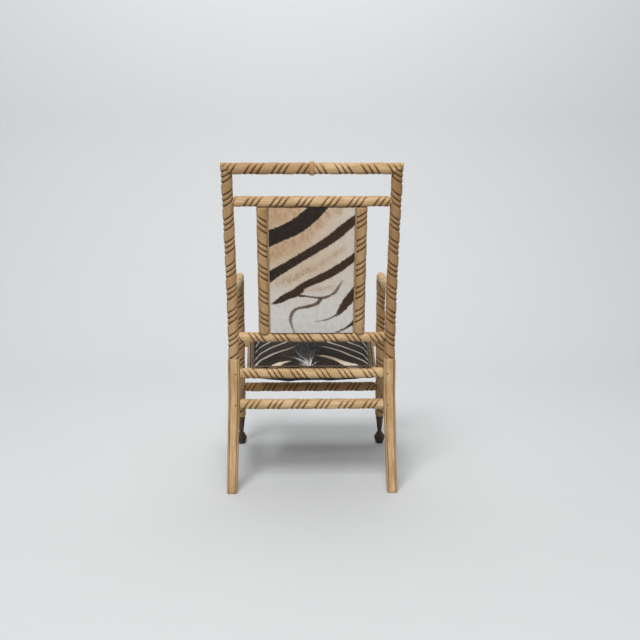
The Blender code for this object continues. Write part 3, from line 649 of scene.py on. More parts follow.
@dataclass(frozen=True)
class StickWood(Finish):
    """Wood of a piece that stores its own place, groove and tone.

    A tone of 1 is wood of the darker ageing colour, which on sticks that lie in shade is painted shade. Wood of
    tone 0 has its grooves darkened only by the young share. The darkened grooves are partly staining and partly
    painted shade, and the groove value also carries painted light on upper faces and painted shade on
    undersides.
    """

    light: Colour
    dark: Colour
    groove: Colour
    roughness: float
    streak_share: float
    bump: float
    young_stain: float = 1.0
    aged: Colour = (0.28, 0.140, 0.048)
    pore_share: float = 0.28
    ragged: float = 0.12
    soil: Ramp = Ramp(0.10, 0.62, 0.0, 0.55)
    stain: Ramp = Ramp(0.36, 0.85)
    stained_tone: float = 0.6
    grain_depth: float = 0.0004

    def paint(self, sheet: NodeSheet, shader: Node) -> None:
        """Mix two woods by streaks and clouds, age and shade them by tone, darken grooves as staining and
        painted shade.
        """
        streak, pore, cloud = WOOD_GRAIN.use(sheet, sheet.place("stick_place"))
        tone = sheet.value("tone")
        depth = sheet.weighted(streak, self.streak_share, cloud, 1.0 - self.streak_share)
        wood = sheet.mix(sheet.spread(depth, 0.2, 0.85), self.light, self.dark)
        wood = sheet.mix(sheet.times(sheet.spread(pore, 0.55, 1.0), self.pore_share), wood, self.groove)
        wood = sheet.mix(tone, wood, self.aged)
        # Groove darkening: partly staining in the grooves and partly painted shade, and on carved sticks also
        # painted light on upper faces and painted shade on undersides.
        uneven = sheet.plus(sheet.value("groove"), sheet.times(cloud, self.ragged))
        wood = sheet.mix(sheet.spread(uneven, *self.soil), wood, self.groove)
        toned_darkening = sheet.spread(tone, 0.0, self.stained_tone, self.young_stain, 1.0)
        stain = sheet.times(sheet.spread(uneven, *self.stain), toned_darkening)
        rough = sheet.plus(sheet.weighted(pore, 0.12, stain, 0.15), self.roughness)
        height = sheet.weighted(streak, 0.6, pore, -0.4)
        sheet.feed(shader, Base_Color=sheet.mix(stain, wood, self.groove), Roughness=rough,
                   Normal=sheet.bump(height, self.bump, self.grain_depth))
        shader.inputs["Specular IOR Level"].default_value = 0.2


@dataclass(frozen=True)
class BoardWood(Finish):
    """Raw or stained wood of a solid from the frame, with its grain upright."""

    light: Colour
    dark: Colour
    roughness: float

    def paint(self, sheet: NodeSheet, shader: Node) -> None:
        """Mix two woods by streaks and pores about the object's own coordinates."""
        streak, pore, _ = WOOD_GRAIN.use(sheet, sheet.here())
        wood = sheet.mix(streak, self.light, self.dark)
        sheet.feed(shader, Base_Color=sheet.mix(sheet.times(pore, 0.3), wood, self.dark),
                   Roughness=sheet.plus(sheet.times(pore, 0.15), self.roughness),
                   Normal=sheet.bump(streak, 0.3, 0.0004))


@dataclass(frozen=True)
class StripedHide(Finish):
    """Short-haired striped hide.

    The mesh stores, for each point, its place on the hide with Y along the hair, how far it lies inside a dark
    stripe in metres, and how much tan, warmth, brown and fading it has.
    """

    cream: Colour
    white: Colour
    tan: Colour
    black: Colour
    brown: Colour
    golden: Colour
    fuzz: Colour
    fray: float
    shade: Colour = (0.62, 0.58, 0.54)
    edge: Ramp = Ramp(-0.0012, 0.0014)
    thinning: Ramp = Ramp(0.2, 0.9, 0.05, 0.72)
    tuft_mottle: Ramp = Ramp(0.2, 0.85, 0.55, 1.0)
    patch_mottle: Ramp = Ramp(0.25, 0.75, 0.5, 1.0)
    patch_tan: Ramp = Ramp(0.35, 0.9, 0.0, 0.16)
    tuft_fuzz: Ramp = Ramp(0.35, 1.0, 0.0, 0.5)
    hair_depth: float = 0.0008

    def paint(self, sheet: NodeSheet, shader: Node) -> None:
        """Fray the stripes' edges along the hair, then tint both colours by strands and tufts."""
        strand, tuft, patch = HAIR_COAT.use(sheet, sheet.place("hide_place"))
        shaken = sheet.plus(sheet.weighted(strand, 0.6, tuft, 0.9), -0.75)
        inside = sheet.plus(sheet.value("dark_depth"), sheet.times(shaken, self.fray))
        faded = sheet.value("faded")
        thinned = sheet.times(faded, sheet.spread(tuft, *self.thinning))
        stripe = sheet.times(sheet.spread(inside, *self.edge), sheet.math("SUBTRACT", 1.0, thinned))
        pale = sheet.mix(sheet.value("warmth"), self.white, self.cream)
        mottle = sheet.times(sheet.spread(tuft, *self.tuft_mottle), sheet.spread(patch, *self.patch_mottle))
        pale = sheet.mix(sheet.times(sheet.value("tan"), mottle), pale, self.tan)
        pale = sheet.mix(sheet.spread(patch, *self.patch_tan), pale, self.tan)
        dark = sheet.mix(sheet.value("brown"), self.black, self.brown)
        # The dark stripes' brown strands and lighter fuzzy tufts are partly the hair's own colour and partly
        # painted sheen.
        dark = sheet.mix(sheet.times(strand, 0.45), dark, self.brown)
        dark = sheet.mix(sheet.spread(tuft, *self.tuft_fuzz), dark, self.fuzz)
        dark = sheet.mix(faded, dark, self.golden)
        shade = sheet.mix(sheet.times(strand, 0.35), (1.0, 1.0, 1.0), self.shade)
        coloured = sheet.mix(1.0, sheet.mix(stripe, pale, dark), shade, "MULTIPLY")
        height = sheet.weighted(strand, 0.5, tuft, 0.5)
        sheet.feed(shader, Base_Color=coloured, Roughness=sheet.spread(strand, 0.0, 1.0, 0.62, 0.85),
                   Normal=sheet.bump(height, 0.35, self.hair_depth))
        shader.inputs["Specular IOR Level"].default_value = 0.10


@dataclass(frozen=True)
class WovenCloth(Finish):
    """Plain weave on a piece that stores its place along the warp and the weft."""

    thread: Colour
    gap: Colour
    pitch: float
    roughness: float
    bump: float
    slub_scale: float = 420.0
    thread_depth: float = 0.0006

    def paint(self, sheet: NodeSheet, shader: Node) -> None:
        """Multiply two sine waves, one for each set of threads, and tint the gaps between them."""
        place = sheet.place("cloth_place")
        split = sheet.add("ShaderNodeSeparateXYZ", {0: place}).outputs
        waves = [sheet.math("SINE", sheet.times(split[label], TURN / self.pitch)) for label in ("X", "Y")]
        height = sheet.math("ABSOLUTE", sheet.times(*waves))
        slub = sheet.noise(place, self.slub_scale, 3.0, 0.6)
        share = sheet.times(sheet.spread(height, 0.0, 0.6), sheet.spread(slub, 0.1, 0.8, 0.55, 1.0))
        rough = sheet.spread(slub, 0.2, 0.8, self.roughness - 0.08, self.roughness + 0.04)
        sheet.feed(shader, Base_Color=sheet.mix(share, self.gap, self.thread), Roughness=rough,
                   Normal=sheet.bump(height, self.bump, self.thread_depth))


@dataclass(frozen=True)
class ManeHair(Finish):
    """Single hairs that store how pale they are."""

    pale: Colour
    dark: Colour

    def paint(self, sheet: NodeSheet, shader: Node) -> None:
        """Shade each hair between two colours by how pale it is, with fine flecks."""
        fleck = sheet.noise(sheet.here(), 900.0, 2.0)
        pale = sheet.times(sheet.value("pale"), sheet.spread(fleck, 0.2, 0.7, 0.7, 1.0))
        sheet.feed(shader, Base_Color=sheet.mix(pale, self.dark, self.pale),
                   Roughness=sheet.spread(fleck, 0.2, 0.8, 0.4, 0.6))


@dataclass(frozen=True)
class AgedMetal(Finish):
    """Dull metal with darker patches."""

    bright: Colour
    dull: Colour
    roughness: float

    def paint(self, sheet: NodeSheet, shader: Node) -> None:
        """Mix two tones of metal by a fine noise."""
        patch = sheet.spread(sheet.noise(sheet.here(), 600.0, 3.0), 0.35, 0.65)
        sheet.feed(shader, Base_Color=sheet.mix(patch, self.dull, self.bright),
                   Roughness=sheet.plus(sheet.times(patch, -0.12), self.roughness))
        shader.inputs["Metallic"].default_value = 0.85


@dataclass(frozen=True)
class StudioPaint(Finish):
    """Pale matt paint of the floor and wall, with a faint cloud in its tone."""

    tone: Colour
    cloud_share: float = 0.97

    def paint(self, sheet: NodeSheet, shader: Node) -> None:
        """Darken the tone slightly by a broad noise."""
        darker = tuple(self.cloud_share * part for part in self.tone)
        sheet.feed(shader, Base_Color=sheet.mix(sheet.noise(sheet.here(), 0.8, 2.0), self.tone, darker))
        shader.inputs["Roughness"].default_value = 0.9


CARVED_WOOD = StickWood("carved_golden_wood", "carved_wood", light=(0.72, 0.510, 0.290),
                        dark=(0.52, 0.335, 0.160), groove=(0.120, 0.066, 0.028), roughness=0.50,
                        streak_share=0.55, bump=0.35, young_stain=0.70)
LEG_WOOD = StickWood("plain_leg_wood", "carved_wood", light=(0.60, 0.412, 0.222), dark=(0.45, 0.275, 0.128),
                     groove=(0.19, 0.092, 0.034), roughness=0.48, streak_share=0.60, bump=0.22)
FOOT_WOOD = StickWood("dark_foot_wood", "dark_turning", light=(0.110, 0.074, 0.050), dark=(0.040, 0.026, 0.018),
                      groove=(0.012, 0.008, 0.006), roughness=0.36, streak_share=0.5, bump=0.30)
PEG_WOOD = StickWood("dark_peg_wood", "peg_wood", light=(0.16, 0.090, 0.042), dark=(0.08, 0.042, 0.018),
                     groove=(0.04, 0.02, 0.01), roughness=0.55, streak_share=0.5, bump=0.25)
DOWEL_WOOD = BoardWood("dowel_wood", "peg_wood", light=(0.20, 0.115, 0.055), dark=(0.11, 0.06, 0.028),
                       roughness=0.55)
RAW_BOARD = BoardWood("raw_board", "plain_board", light=(0.55, 0.40, 0.24), dark=(0.40, 0.27, 0.15),
                      roughness=0.62)
BACK_HIDE = StripedHide("back_striped_hide", "pale_hide", cream=(0.62, 0.475, 0.328), white=(0.70, 0.690, 0.66),
                        tan=(0.44, 0.245, 0.110), black=(0.016, 0.015, 0.015), brown=(0.056, 0.029, 0.015),
                        golden=(0.20, 0.098, 0.043), fuzz=(0.066, 0.056, 0.050), fray=0.0052)
SEAT_HIDE = StripedHide("seat_striped_hide", "dark_hide", cream=(0.62, 0.490, 0.340), white=(0.66, 0.62, 0.54),
                        tan=(0.30, 0.180, 0.095), black=(0.012, 0.011, 0.010), brown=(0.050, 0.027, 0.015),
                        golden=(0.20, 0.120, 0.060), fuzz=(0.046, 0.040, 0.037), fray=0.0040)
MANE_HAIR = ManeHair("mane_hair", "dark_hide", pale=(0.84, 0.82, 0.78), dark=(0.016, 0.014, 0.012))
GIMP_BRAID = WovenCloth("gimp_braid_cloth", "gimp_braid", thread=(0.19, 0.135, 0.085),
                        gap=(0.055, 0.038, 0.025), pitch=0.0024, roughness=0.88, bump=0.6)
WEBBING = WovenCloth("jute_webbing", "webbing_jute", thread=(0.36, 0.275, 0.165), gap=(0.15, 0.11, 0.06),
                     pitch=0.0036, roughness=0.9, bump=0.7)
DUST_CLOTH = WovenCloth("black_dust_cloth", "black_cloth", thread=(0.016, 0.014, 0.013),
                        gap=(0.005, 0.005, 0.005), pitch=0.0016, roughness=0.93, bump=0.4)
NAIL_METAL = AgedMetal("dark_nail_bronze", "gimp_braid", bright=(0.110, 0.078, 0.048),
                       dull=(0.034, 0.024, 0.016), roughness=0.45)
STUDIO = StudioPaint("studio_paint", "studio", tone=(0.66, 0.67, 0.675))


def show(name: str, mesh: Mesh, finish: Finish, *nodes: str) -> Object:
    """Put a mesh in the scene as a finished piece of the chair.

    Args:
        name: Name of the piece.
        mesh: Its mesh, in place.
        finish: Its finish.
        *nodes: Solids of the frame that it stands for.

    Returns:
        The new object.
    """
    piece = placed(name, mesh)
    mesh.materials.append(finish.material())
    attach(piece, BODY)
    if nodes:
        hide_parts(*nodes)
    LOG.info("%s: %d faces, %s", name, len(mesh.polygons), finish.name)
    return piece


def dress(node: str, finish: Finish) -> None:
    """Give a solid that stays in view a better material."""
    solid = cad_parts[node]
    for slot in solid.material_slots:
        slot.material = finish.material()
    if not solid.material_slots:
        solid.data.materials.append(finish.material())
    LOG.info("%s keeps its solid, %s", node, finish.name)


@dataclass(frozen=True)
class Rope:
    """Twist of one stick: one broad band and two ribs between three grooves, once round in each lead."""

    hand: Hand
    lead: float
    start: float
    band_share: float = 0.54
    groove_half: float = 0.0042
    groove_rows: tuple[float, ...] = (0.0, 0.3, 0.65, 1.0)
    groove_power: float = 1.1
    groove_share: float = 0.36
    shoulder: float = 0.0080
    shoulder_rows: int = 4
    shoulder_power: float = 1.9
    depth: float = 0.0045
    rib_drop: float = 0.10
    ease: float = 0.24
    wander: float = 0.0012
    wander_length: float = 0.170
    wander_start: float = 1.7
    widest_row: float = 0.006

    def edges(self) -> Array:
        """Grooves in one lead as shares of it: the band's two sides, the ribs' border and the next band."""
        return np.array((0.0, self.band_share, (1.0 + self.band_share) / 2.0, 1.0))

    def stations(self) -> Array:
        """Heights in one lead that get a row of points: close together in the grooves and wide on the bands."""
        rows = []
        for low, high in zip(self.edges() * self.lead, self.edges()[1:] * self.lead):
            half = (high - low) / 2.0
            rounded = min(half, self.shoulder)
            slope = self.groove_half * np.array(self.groove_rows)
            crown = np.linspace(self.groove_half, rounded, self.shoulder_rows + 1)[1:]
            flat_rows = max(1, math.ceil((half - rounded) / self.widest_row) + 1)
            climb = np.concatenate((slope, crown, np.linspace(rounded, half, flat_rows)[1:]))
            rows.extend((low + climb, high - climb[-2:0:-1]))
        return np.concatenate(rows)

    def drift(self, place: Array) -> Array:
        """Wander of the carver's hand: a slow sine along the stick."""
        start = self.wander_start * self.start / self.lead
        return self.wander * np.sin(TURN * (place / self.wander_length + start))

    def wind(self, angle: Array, seen: float) -> Array:
        """How far the helix has run along the stick at an angle.

        It runs hand lead / turn (angle - ease sin(angle - seen)), so it crosses the seen face more squarely and
        makes up for it at the far side.

        Args:
            angle: Angles about the stick.
            seen: Angle of the face that is seen most.

        Returns:
            Lengths along the stick.
        """
        return self.hand * self.lead / TURN * (angle - self.ease * np.sin(angle - seen))

    def rows(self, low: float, high: float, angle: Array, seen: float) -> Array:
        """Places of all rows that touch a stretch of the stick, for each angle.

        A row lies at start + station + the helix's run, less the drift there, and so follows the grooves.

        Args:
            low: Lower end of the stretch.
            high: Upper end of the stretch.
            angle: Angles of the columns.
            seen: Angle of the face that is seen most.

        Returns:
            Array of rows and columns.
        """
        leads = np.arange(math.floor((low - self.start) / self.lead) - 1,
                          math.ceil((high - self.start) / self.lead) + 2)
        heights = self.start + (leads[:, None] * self.lead + self.stations()).ravel()
        wound = heights[:, None] + self.wind(angle, seen)
        return wound - self.drift(wound)

    def cut(self, place: Array, angle: Array, seen: float) -> tuple[Array, Array]:
        """Depth of the carving, 0 to 1, by the distance to the nearest groove: a V with rounded shoulders.

        The V and the shoulders each fall off as a power of 1 - distance / reach, and are mixed by the groove's
        share. The two ribs lie lower than the band by a share of the depth.

        Args:
            place: Lengths along the stick.
            angle: Angles about it.
            seen: Angle of the face that is seen most.

        Returns:
            Depth shares, and the same without the ribs' own drop.
        """
        run = place + self.drift(place) - self.start - self.wind(angle, seen)
        share = np.mod(run / self.lead, 1.0)
        edges = self.edges()
        section = np.clip(np.searchsorted(edges, share, side="right") - 1, 0, 2)
        distance = np.minimum(share - edges[section], edges[section + 1] - share) * self.lead
        rounded = np.minimum(np.diff(edges)[section] * self.lead / 2.0, self.shoulder)
        groove = np.clip(1.0 - distance / self.groove_half, 0.0, 1.0) ** self.groove_power
        crown = np.clip(1.0 - distance / rounded, 0.0, 1.0) ** self.shoulder_power
        shape = self.groove_share * groove + (1.0 - self.groove_share) * crown
        return np.where(section > 0, self.rib_drop + (1.0 - self.rib_drop) * shape, shape), shape


UPPER_LEAD = 0.076
LOWER_LEAD = 0.074
ROPES = {
    "crest_rail": Rope(Hand.LEFT, UPPER_LEAD, 0.0217),
    "upper_back_rail": Rope(Hand.LEFT, UPPER_LEAD, 0.0350),
    "lower_back_rail": Rope(Hand.RIGHT, LOWER_LEAD, 0.0733),
    "back_stile_left": Rope(Hand.LEFT, UPPER_LEAD, 0.0646),
    "back_stile_right": Rope(Hand.RIGHT, UPPER_LEAD, 0.0418),
    "rear_post_left": Rope(Hand.RIGHT, UPPER_LEAD, 0.0274),
    "rear_post_right": Rope(Hand.LEFT, UPPER_LEAD, 0.0638),
    "front_post_left": Rope(Hand.RIGHT, UPPER_LEAD, 0.0),
    "front_post_right": Rope(Hand.LEFT, UPPER_LEAD, UPPER_LEAD / 2),
    "arm_left": Rope(Hand.RIGHT, UPPER_LEAD, 0.0),
    "arm_right": Rope(Hand.LEFT, UPPER_LEAD, 0.0),
    "seat_rail_rear": Rope(Hand.RIGHT, LOWER_LEAD, 0.0525),
    "seat_rail_front": Rope(Hand.RIGHT, LOWER_LEAD, 0.0525),
    "seat_rail_left": Rope(Hand.LEFT, LOWER_LEAD, 0.0),
    "seat_rail_right": Rope(Hand.RIGHT, LOWER_LEAD, 0.0),
    "stretcher_rear": Rope(Hand.LEFT, LOWER_LEAD, 0.0170),
    "stretcher_front": Rope(Hand.LEFT, LOWER_LEAD, 0.0644),
    "stretcher_left": Rope(Hand.LEFT, LOWER_LEAD, 0.0),
    "stretcher_right": Rope(Hand.RIGHT, LOWER_LEAD, 0.0),
}
# How far the wood of each stick is toned towards its darker ageing colour, 0 to 1: mostly its own tone, but the
# dark tones of the stretchers under the seat are painted shade, and those of the front posts partly so.
TONES = {
    "crest_left": 0.62,
    "crest_right": 0.26,
    "crest_ring": 0.55,
    "upper_back_rail": 0.22,
    "lower_back_rail": 0.24,
    "rear_post_left": 0.48,
    "rear_post_right": 0.74,
    "back_stile_left": 0.52,
    "back_stile_right": 0.52,
    "stretcher_rear": 0.0,
    # Painted shade: the stretchers under the seat and the front posts are darkened for the shade they lie in.
    "stretcher_front": 0.80,
    "front_post_left": 0.60,
    "front_post_right": 0.60,
    "stretcher_left": 0.90,
    "stretcher_right": 0.90,
    "seat_rail_left": 0.55,
    "seat_rail_right": 0.55,
}
USUAL_TONE = 0.18


@dataclass(frozen=True)
class StickEnd:
    """End of a carved stick on a plane.

    The normal points into the stick, and the distance runs along it from the joint's centre to the plane.
    Over the zone next to the plane the stick draws in to a share of its radius.
    """

    kind: EndKind
    normal: Array
    distance: float
    zone: float
    share: float

    @classmethod
    def shoulder(cls, inward: Array, host_axis: Array, host_dia: float) -> "StickEnd":
        """Tenoned end just clear of a round host, on a plane along the host's axis."""
        normal = unit(inward - host_axis * float(inward @ host_axis))
        return cls(EndKind.TENON, normal, host_dia / 2 + FIT, zone=0.0075, share=0.84)

    @classmethod
    def mitre(cls, toward: Array, other_toward: Array) -> "StickEnd":
        """Mitred end on the plane that halves a corner; both directions point to the corner."""
        return cls(EndKind.MITRE, unit(other_toward - toward), FIT / 2, zone=0.0020, share=0.965)

    @classmethod
    def butt(cls, inward: Array, distance: float, zone: float, share: float) -> "StickEnd":
        """Flat end square to a direction, with a rim drawn in over a zone."""
        return cls(EndKind.BUTT, unit(inward), distance, zone, share)


@dataclass
class RopeStick:
    """One carved stick: rope carving wound along a path between two ends.

    The darkening of its grooves fades by a share on upper faces as painted light from above, and painted shade
    darkens its underside.
    """

    name: str
    path: StraightPath | PostPath
    diameter: float
    rope: Rope
    near: StickEnd
    far: StickEnd
    collar: float = 0.0
    collar_ease: float = 0.006
    columns: int = 40
    rim_rows: tuple[float, ...] = (0.0, 0.04, 0.13, 0.28, 0.48, 0.72)
    tenon_radius: float = 0.008
    tenon_length: float = 0.012
    # Painted light fades the groove darkening on upper faces, and painted shade darkens the underside.
    bleach: float = 0.62
    grime: float = 0.34
    underside: Ease = Ease(0.45, 0.5)
    grain_shift: float = 0.37

    def cut_place(self, end: StickEnd, joint: float, angle: Array, radius: Array) -> Array:
        """Place where an end's plane crosses the stick's side.

        A point joint + s along + r (cos across + sin over) lies on the plane where
        s = (distance - r (cos n.across + sin n.over)) / n.along.

        Args:
            end: The end.
            joint: Place of the joint's centre.
            angle: Angles about the stick.
            radius: Radii at these angles.

        Returns:
            Places along the stick.
        """
        here = self.path.frames(np.array([joint]))
        across, over, along = (float(way[0] @ end.normal) for way in (here.across, here.over, here.along))
        return joint + (end.distance - radius * (np.cos(angle) * across + np.sin(angle) * over)) / along

    def radius(self, place: Array, angle: Array, first: Array,
               last: Array) -> tuple[Array, Array]:
        """Radius and groove share: half the diameter, drawn in at rounded ends, less the carving's depth.

        Args:
            place: Lengths along the stick.
            angle: Angles about it.
            first: Places of the near end at these angles.
            last: Places of the far end at these angles.

        Returns:
            The radii, and the shares of the grooves' depth.
        """
        draw = np.ones_like(place)
        fade = np.ones_like(place)
        for end, gone in ((self.near, place - first), (self.far, last - place)):
            climb = np.clip(gone / end.zone, 0.0, 1.0)
            draw = draw * (end.share + (1.0 - end.share) * np.sqrt(1.0 - (1.0 - climb) ** 2))
            if self.collar:
                fade = fade * smooth((gone - self.collar) / self.collar_ease + 0.5)
        depth, groove = self.rope.cut(place, angle, self.path.seen)
        return self.diameter / 2.0 * draw - self.rope.depth * depth * fade, groove * fade

    def data(self) -> MeshData:
        """Rows that follow the grooves, held between the ends, with rounded rims, shoulders and tenons.

        Returns:
            The closed stick with its grain place, its groove darkening with painted light and shade, and its
            tone.
        """
        angle = np.linspace(0.0, TURN, self.columns + 1)
        full = np.full_like(angle, self.diameter / 2.0)
        ends = ((self.near, 0.0), (self.far, self.path.length))
        first, last = (self.cut_place(end, joint, angle, full) for end, joint in ends)
        low, high = first + self.near.zone, last - self.far.zone

        wound = np.clip(self.rope.rows(first.min(), last.max(), angle, self.path.seen), low, high)
        rim = np.array(self.rim_rows)[:, None]
        place = np.concatenate((first + rim * self.near.zone, wound, last - rim[::-1] * self.far.zone))
        radius, groove = self.radius(place, np.broadcast_to(angle, place.shape), first, last)

        near_rows, near_radii = self.cap(self.near, 0.0, angle, -1)
        far_rows, far_radii = self.cap(self.far, self.path.length, angle, 1)
        place = np.concatenate((near_rows, place, far_rows))
        radius = np.concatenate((near_radii, radius, far_radii))
        groove = np.pad(groove, ((len(near_rows), len(far_rows)), (0, 0)))

        angles = np.broadcast_to(angle, place.shape)
        frames = self.path.frames(place)
        upward = np.cos(angles) * frames.across[..., 2] + np.sin(angles) * frames.over[..., 2]
        # Painted light and shade: groove darkening fades on faces that look up, and painted shade darkens faces
        # that look down.
        stain = groove * (1.0 - self.bleach * smooth(upward)) + self.grime * self.underside.at(-upward)
        own = sum(ord(letter) for letter in self.name) * self.grain_shift
        values = {
            "stick_place": about_axis(radius, angles, place) + (own, -own, 0.0),
            "groove": stain,
            "tone": np.full_like(groove, TONES.get(self.name, USUAL_TONE)),
        }
        return closed_grid(frames.point(angles, radius), values)

    def cap(self, end: StickEnd, joint: float, angle: Array,
            outward: int) -> tuple[Array, Array]:
        """Rows that close an end: its middle, and for a tenon also the tenon's tip and root.

        Args:
            end: The end.
            joint: Place of the joint's centre.
            angle: Angles of the columns.
            outward: Direction out of the stick along the path, which also sets the order of the rows.

        Returns:
            Places and radii of the rows.
        """
        none = np.zeros_like(angle)
        middle = self.cut_place(end, joint, angle, none)
        if end.kind is not EndKind.TENON:
            return middle[None], none[None]
        core = np.full_like(angle, self.tenon_radius)
        tip = middle + outward * self.tenon_length
        places = np.stack((tip, tip, self.cut_place(end, joint, angle, core)))
        radii = np.stack((none, core, core))
        return (places, radii) if outward < 0 else (places[::-1], radii[::-1])

    def build(self, *nodes: str) -> Object:
        """Show the stick as a piece that stands for the given solids."""
        return show(f"carved_{self.name}", self.data().mesh(self.name), CARVED_WOOD, *nodes)


def jointed(node: str, ends: Sequence[Array], axes: Sequence[Array], hosts: Sequence[float],
            diameter: float, collar: float = 0.0) -> None:
    """Carve a straight stick with a tenon in a host at each end.

    Args:
        node: Solid that the stick stands for.
        ends: Centres of the two joints.
        axes: Directions of the two hosts.
        hosts: Widths of the two hosts.
        diameter: The stick's diameter.
        collar: Length of the plain stretch at each end.
    """
    along = unit(ends[1] - ends[0])
    near = StickEnd.shoulder(along, axes[0], hosts[0])
    far = StickEnd.shoulder(-along, axes[1], hosts[1])
    RopeStick(node, StraightPath(ends[0], ends[1]), diameter, ROPES[node], near, far, collar).build(node)


def turned_body(centre: Array, along: Array, guide: Array, profile: Array,
                columns: int, tone: float = 0.0) -> MeshData:
    """Body turned about an axis from a profile of place and radius, closed at both ends on the axis.

    Args:
        centre: Point on the axis at place 0.
        along: Unit direction of the axis.
        guide: Direction of angle 0.
        profile: Rows of place and radius, from end to end.
        columns: Number of columns round the axis.
        tone: Its tone towards the darker ageing colour, 0 to 1.

    Returns:
        The closed body with its grain place and tone and no groove.
    """
    closed = np.concatenate(((profile[0] * (1, 0),), profile, (profile[-1] * (1, 0),)))
    angle = np.linspace(0.0, TURN, columns + 1)
    place, radius, angles = np.broadcast_arrays(closed[:, :1], closed[:, 1:], angle)
    frames = Frames.about(centre + place[..., None] * along, along, guide)
    values = {"stick_place": about_axis(radius, angles, place) + centre, "groove": np.zeros_like(place),
              "tone": np.full(place.shape, tone)}
    return closed_grid(frames.point(angles, radius), values)


@dataclass
class RearPosts:
    """Both rear posts: carved above, plain and eight-sided below, with their pegs."""

    foot_width: float = 0.0315
    chamfer: float = 0.003
    chamfer_rows: tuple[float, ...] = (0.0, 0.5, 1.0)
    chamfer_draw: tuple[float, ...] = (1.0, 0.35, 0.0)
    plain_z: float = 0.012
    plain_rows: int = 40
    level: Ease = Ease(0.004, 0.08)
    shoulder: float = 0.006
    shoulder_rows: int = 8
    shoulder_power: float = 0.6
    overlap: float = 0.001
    neck_radius: float = 0.0150
    corner_power: float = 60.0
    flat_share: float = 0.66
    edge_stain: Bell = Bell(0.0, 0.13, 0.62)
    grain_shift: float = 3.1
    columns: int = 112
    rim_zone: float = 0.0030
    rim_share: float = 0.93
    peg_radius: float = 0.0025
    peg_inset: float = 0.0064
    peg_rise: float = 0.0006
    peg_bevel: float = 0.0004
    peg_depth: float = 0.006
    peg_columns: int = 20

    def leg(self, side: Side) -> MeshData:
        """Plain leg, square with cut corners that are a little softened, and stained along its edges.

        Its outline is half / (|cos|^p + |sin|^p + ((|cos| + |sin|) / (1 + flat))^p)^(1/p), where flat is the
        share of a side between two cut corners. The rows stand level at the floor and turn square to the post
        further up.

        Args:
            side: Which post.

        Returns:
            The closed leg.
        """
        top = PLAN.leg_top_z - self.shoulder
        turn = np.linspace(0.0, QUARTER, self.shoulder_rows + 1)[1:]
        foot = self.chamfer * np.array(self.chamfer_rows)
        plain = np.linspace(self.plain_z, top, self.plain_rows)
        z = np.concatenate((foot, plain, top + (self.shoulder + self.overlap) * np.sin(turn)))
        width = self.foot_width + (PLAN.leg_width - self.foot_width) * np.minimum(1.0, z / PLAN.leg_bend_z)
        half = width / 2.0
        half[:len(self.chamfer_draw)] -= self.chamfer * np.array(self.chamfer_draw)
        widest = half[-self.shoulder_rows - 1]
        half[-self.shoulder_rows:] = (self.neck_radius
                                      + (widest - self.neck_radius) * np.cos(turn) ** self.shoulder_power)

        angle = np.linspace(0.0, TURN, self.columns + 1)
        sides = np.abs(np.stack((np.cos(angle), np.sin(angle))))
        cuts = np.concatenate((sides, sides.sum(axis=0, keepdims=True) / (1.0 + self.flat_share)))
        outline = np.sum(cuts ** self.corner_power, axis=0) ** (-1.0 / self.corner_power)
        along = unit(UP + self.level.at(z)[:, None] * (PLAN.rear_axis(z, side) - UP))
        centre = PLAN.rear_point(z, side)
        radius, angles, height = np.broadcast_arrays(half[:, None] * outline, angle, z[:, None])
        body = Frames.about(centre[:, None], along[:, None], ACROSS).point(angles, radius)
        points = capped(body, centre[0], centre[-1])
        local = about_axis(radius, angles, height)
        grain = np.concatenate((local[:1], local, local[-1:])) + self.grain_shift * side
        edge = np.min(np.abs(sides - sides[::-1] * self.flat_share), axis=0)
        groove = np.broadcast_to(self.edge_stain.at(edge), points.shape[:2])
        return closed_grid(points, {"stick_place": grain, "groove": groove})

    def peg(self, side: Side, z: float) -> MeshData:
        """Round peg with a low dome, standing a little proud of the leg's rear flat."""
        post = PLAN.rear_point(z, side)
        face = np.array((post[0] - side * self.peg_inset, post[1] - PLAN.leg_width / 2, z))
        turn = np.linspace(0.0, QUARTER, 5)
        crown = np.stack((-self.peg_rise * np.cos(turn), self.peg_radius * np.sin(turn)), axis=1)
        shank = np.array(((self.peg_bevel, self.peg_radius), (self.peg_depth, self.peg_radius)))
        return turned_body(face, FORWARD, UP, np.concatenate((crown, shank)), self.peg_columns)

    def build(self) -> None:
        """Carve both posts, and make their legs and pegs."""
        for side in Side:
            node = f"rear_post_{side.label}"
            lower = PLAN.rear_axis(PLAN.leg_top_z, side)
            near = StickEnd.butt(lower, 0.0, self.rim_zone, self.rim_share)
            far = StickEnd.mitre(PLAN.rear_axis(PLAN.crest_z, side), ACROSS * side)
            RopeStick(node, PostPath(side), PLAN.post_dia, ROPES[node], near, far).build(node)
            leg = f"plain_leg_{side.label}"
            show(leg, self.leg(side).mesh(leg, sharp=40.0), LEG_WOOD, node)
            for rail, z in (("seat_rail_rear", PLAN.seat_rail_z), ("stretcher_rear", PLAN.rear_stretcher_z)):
                name = f"{rail}_peg_{side.label}"
                show(f"domed_{name}", self.peg(side, z).mesh(name), PEG_WOOD, name)


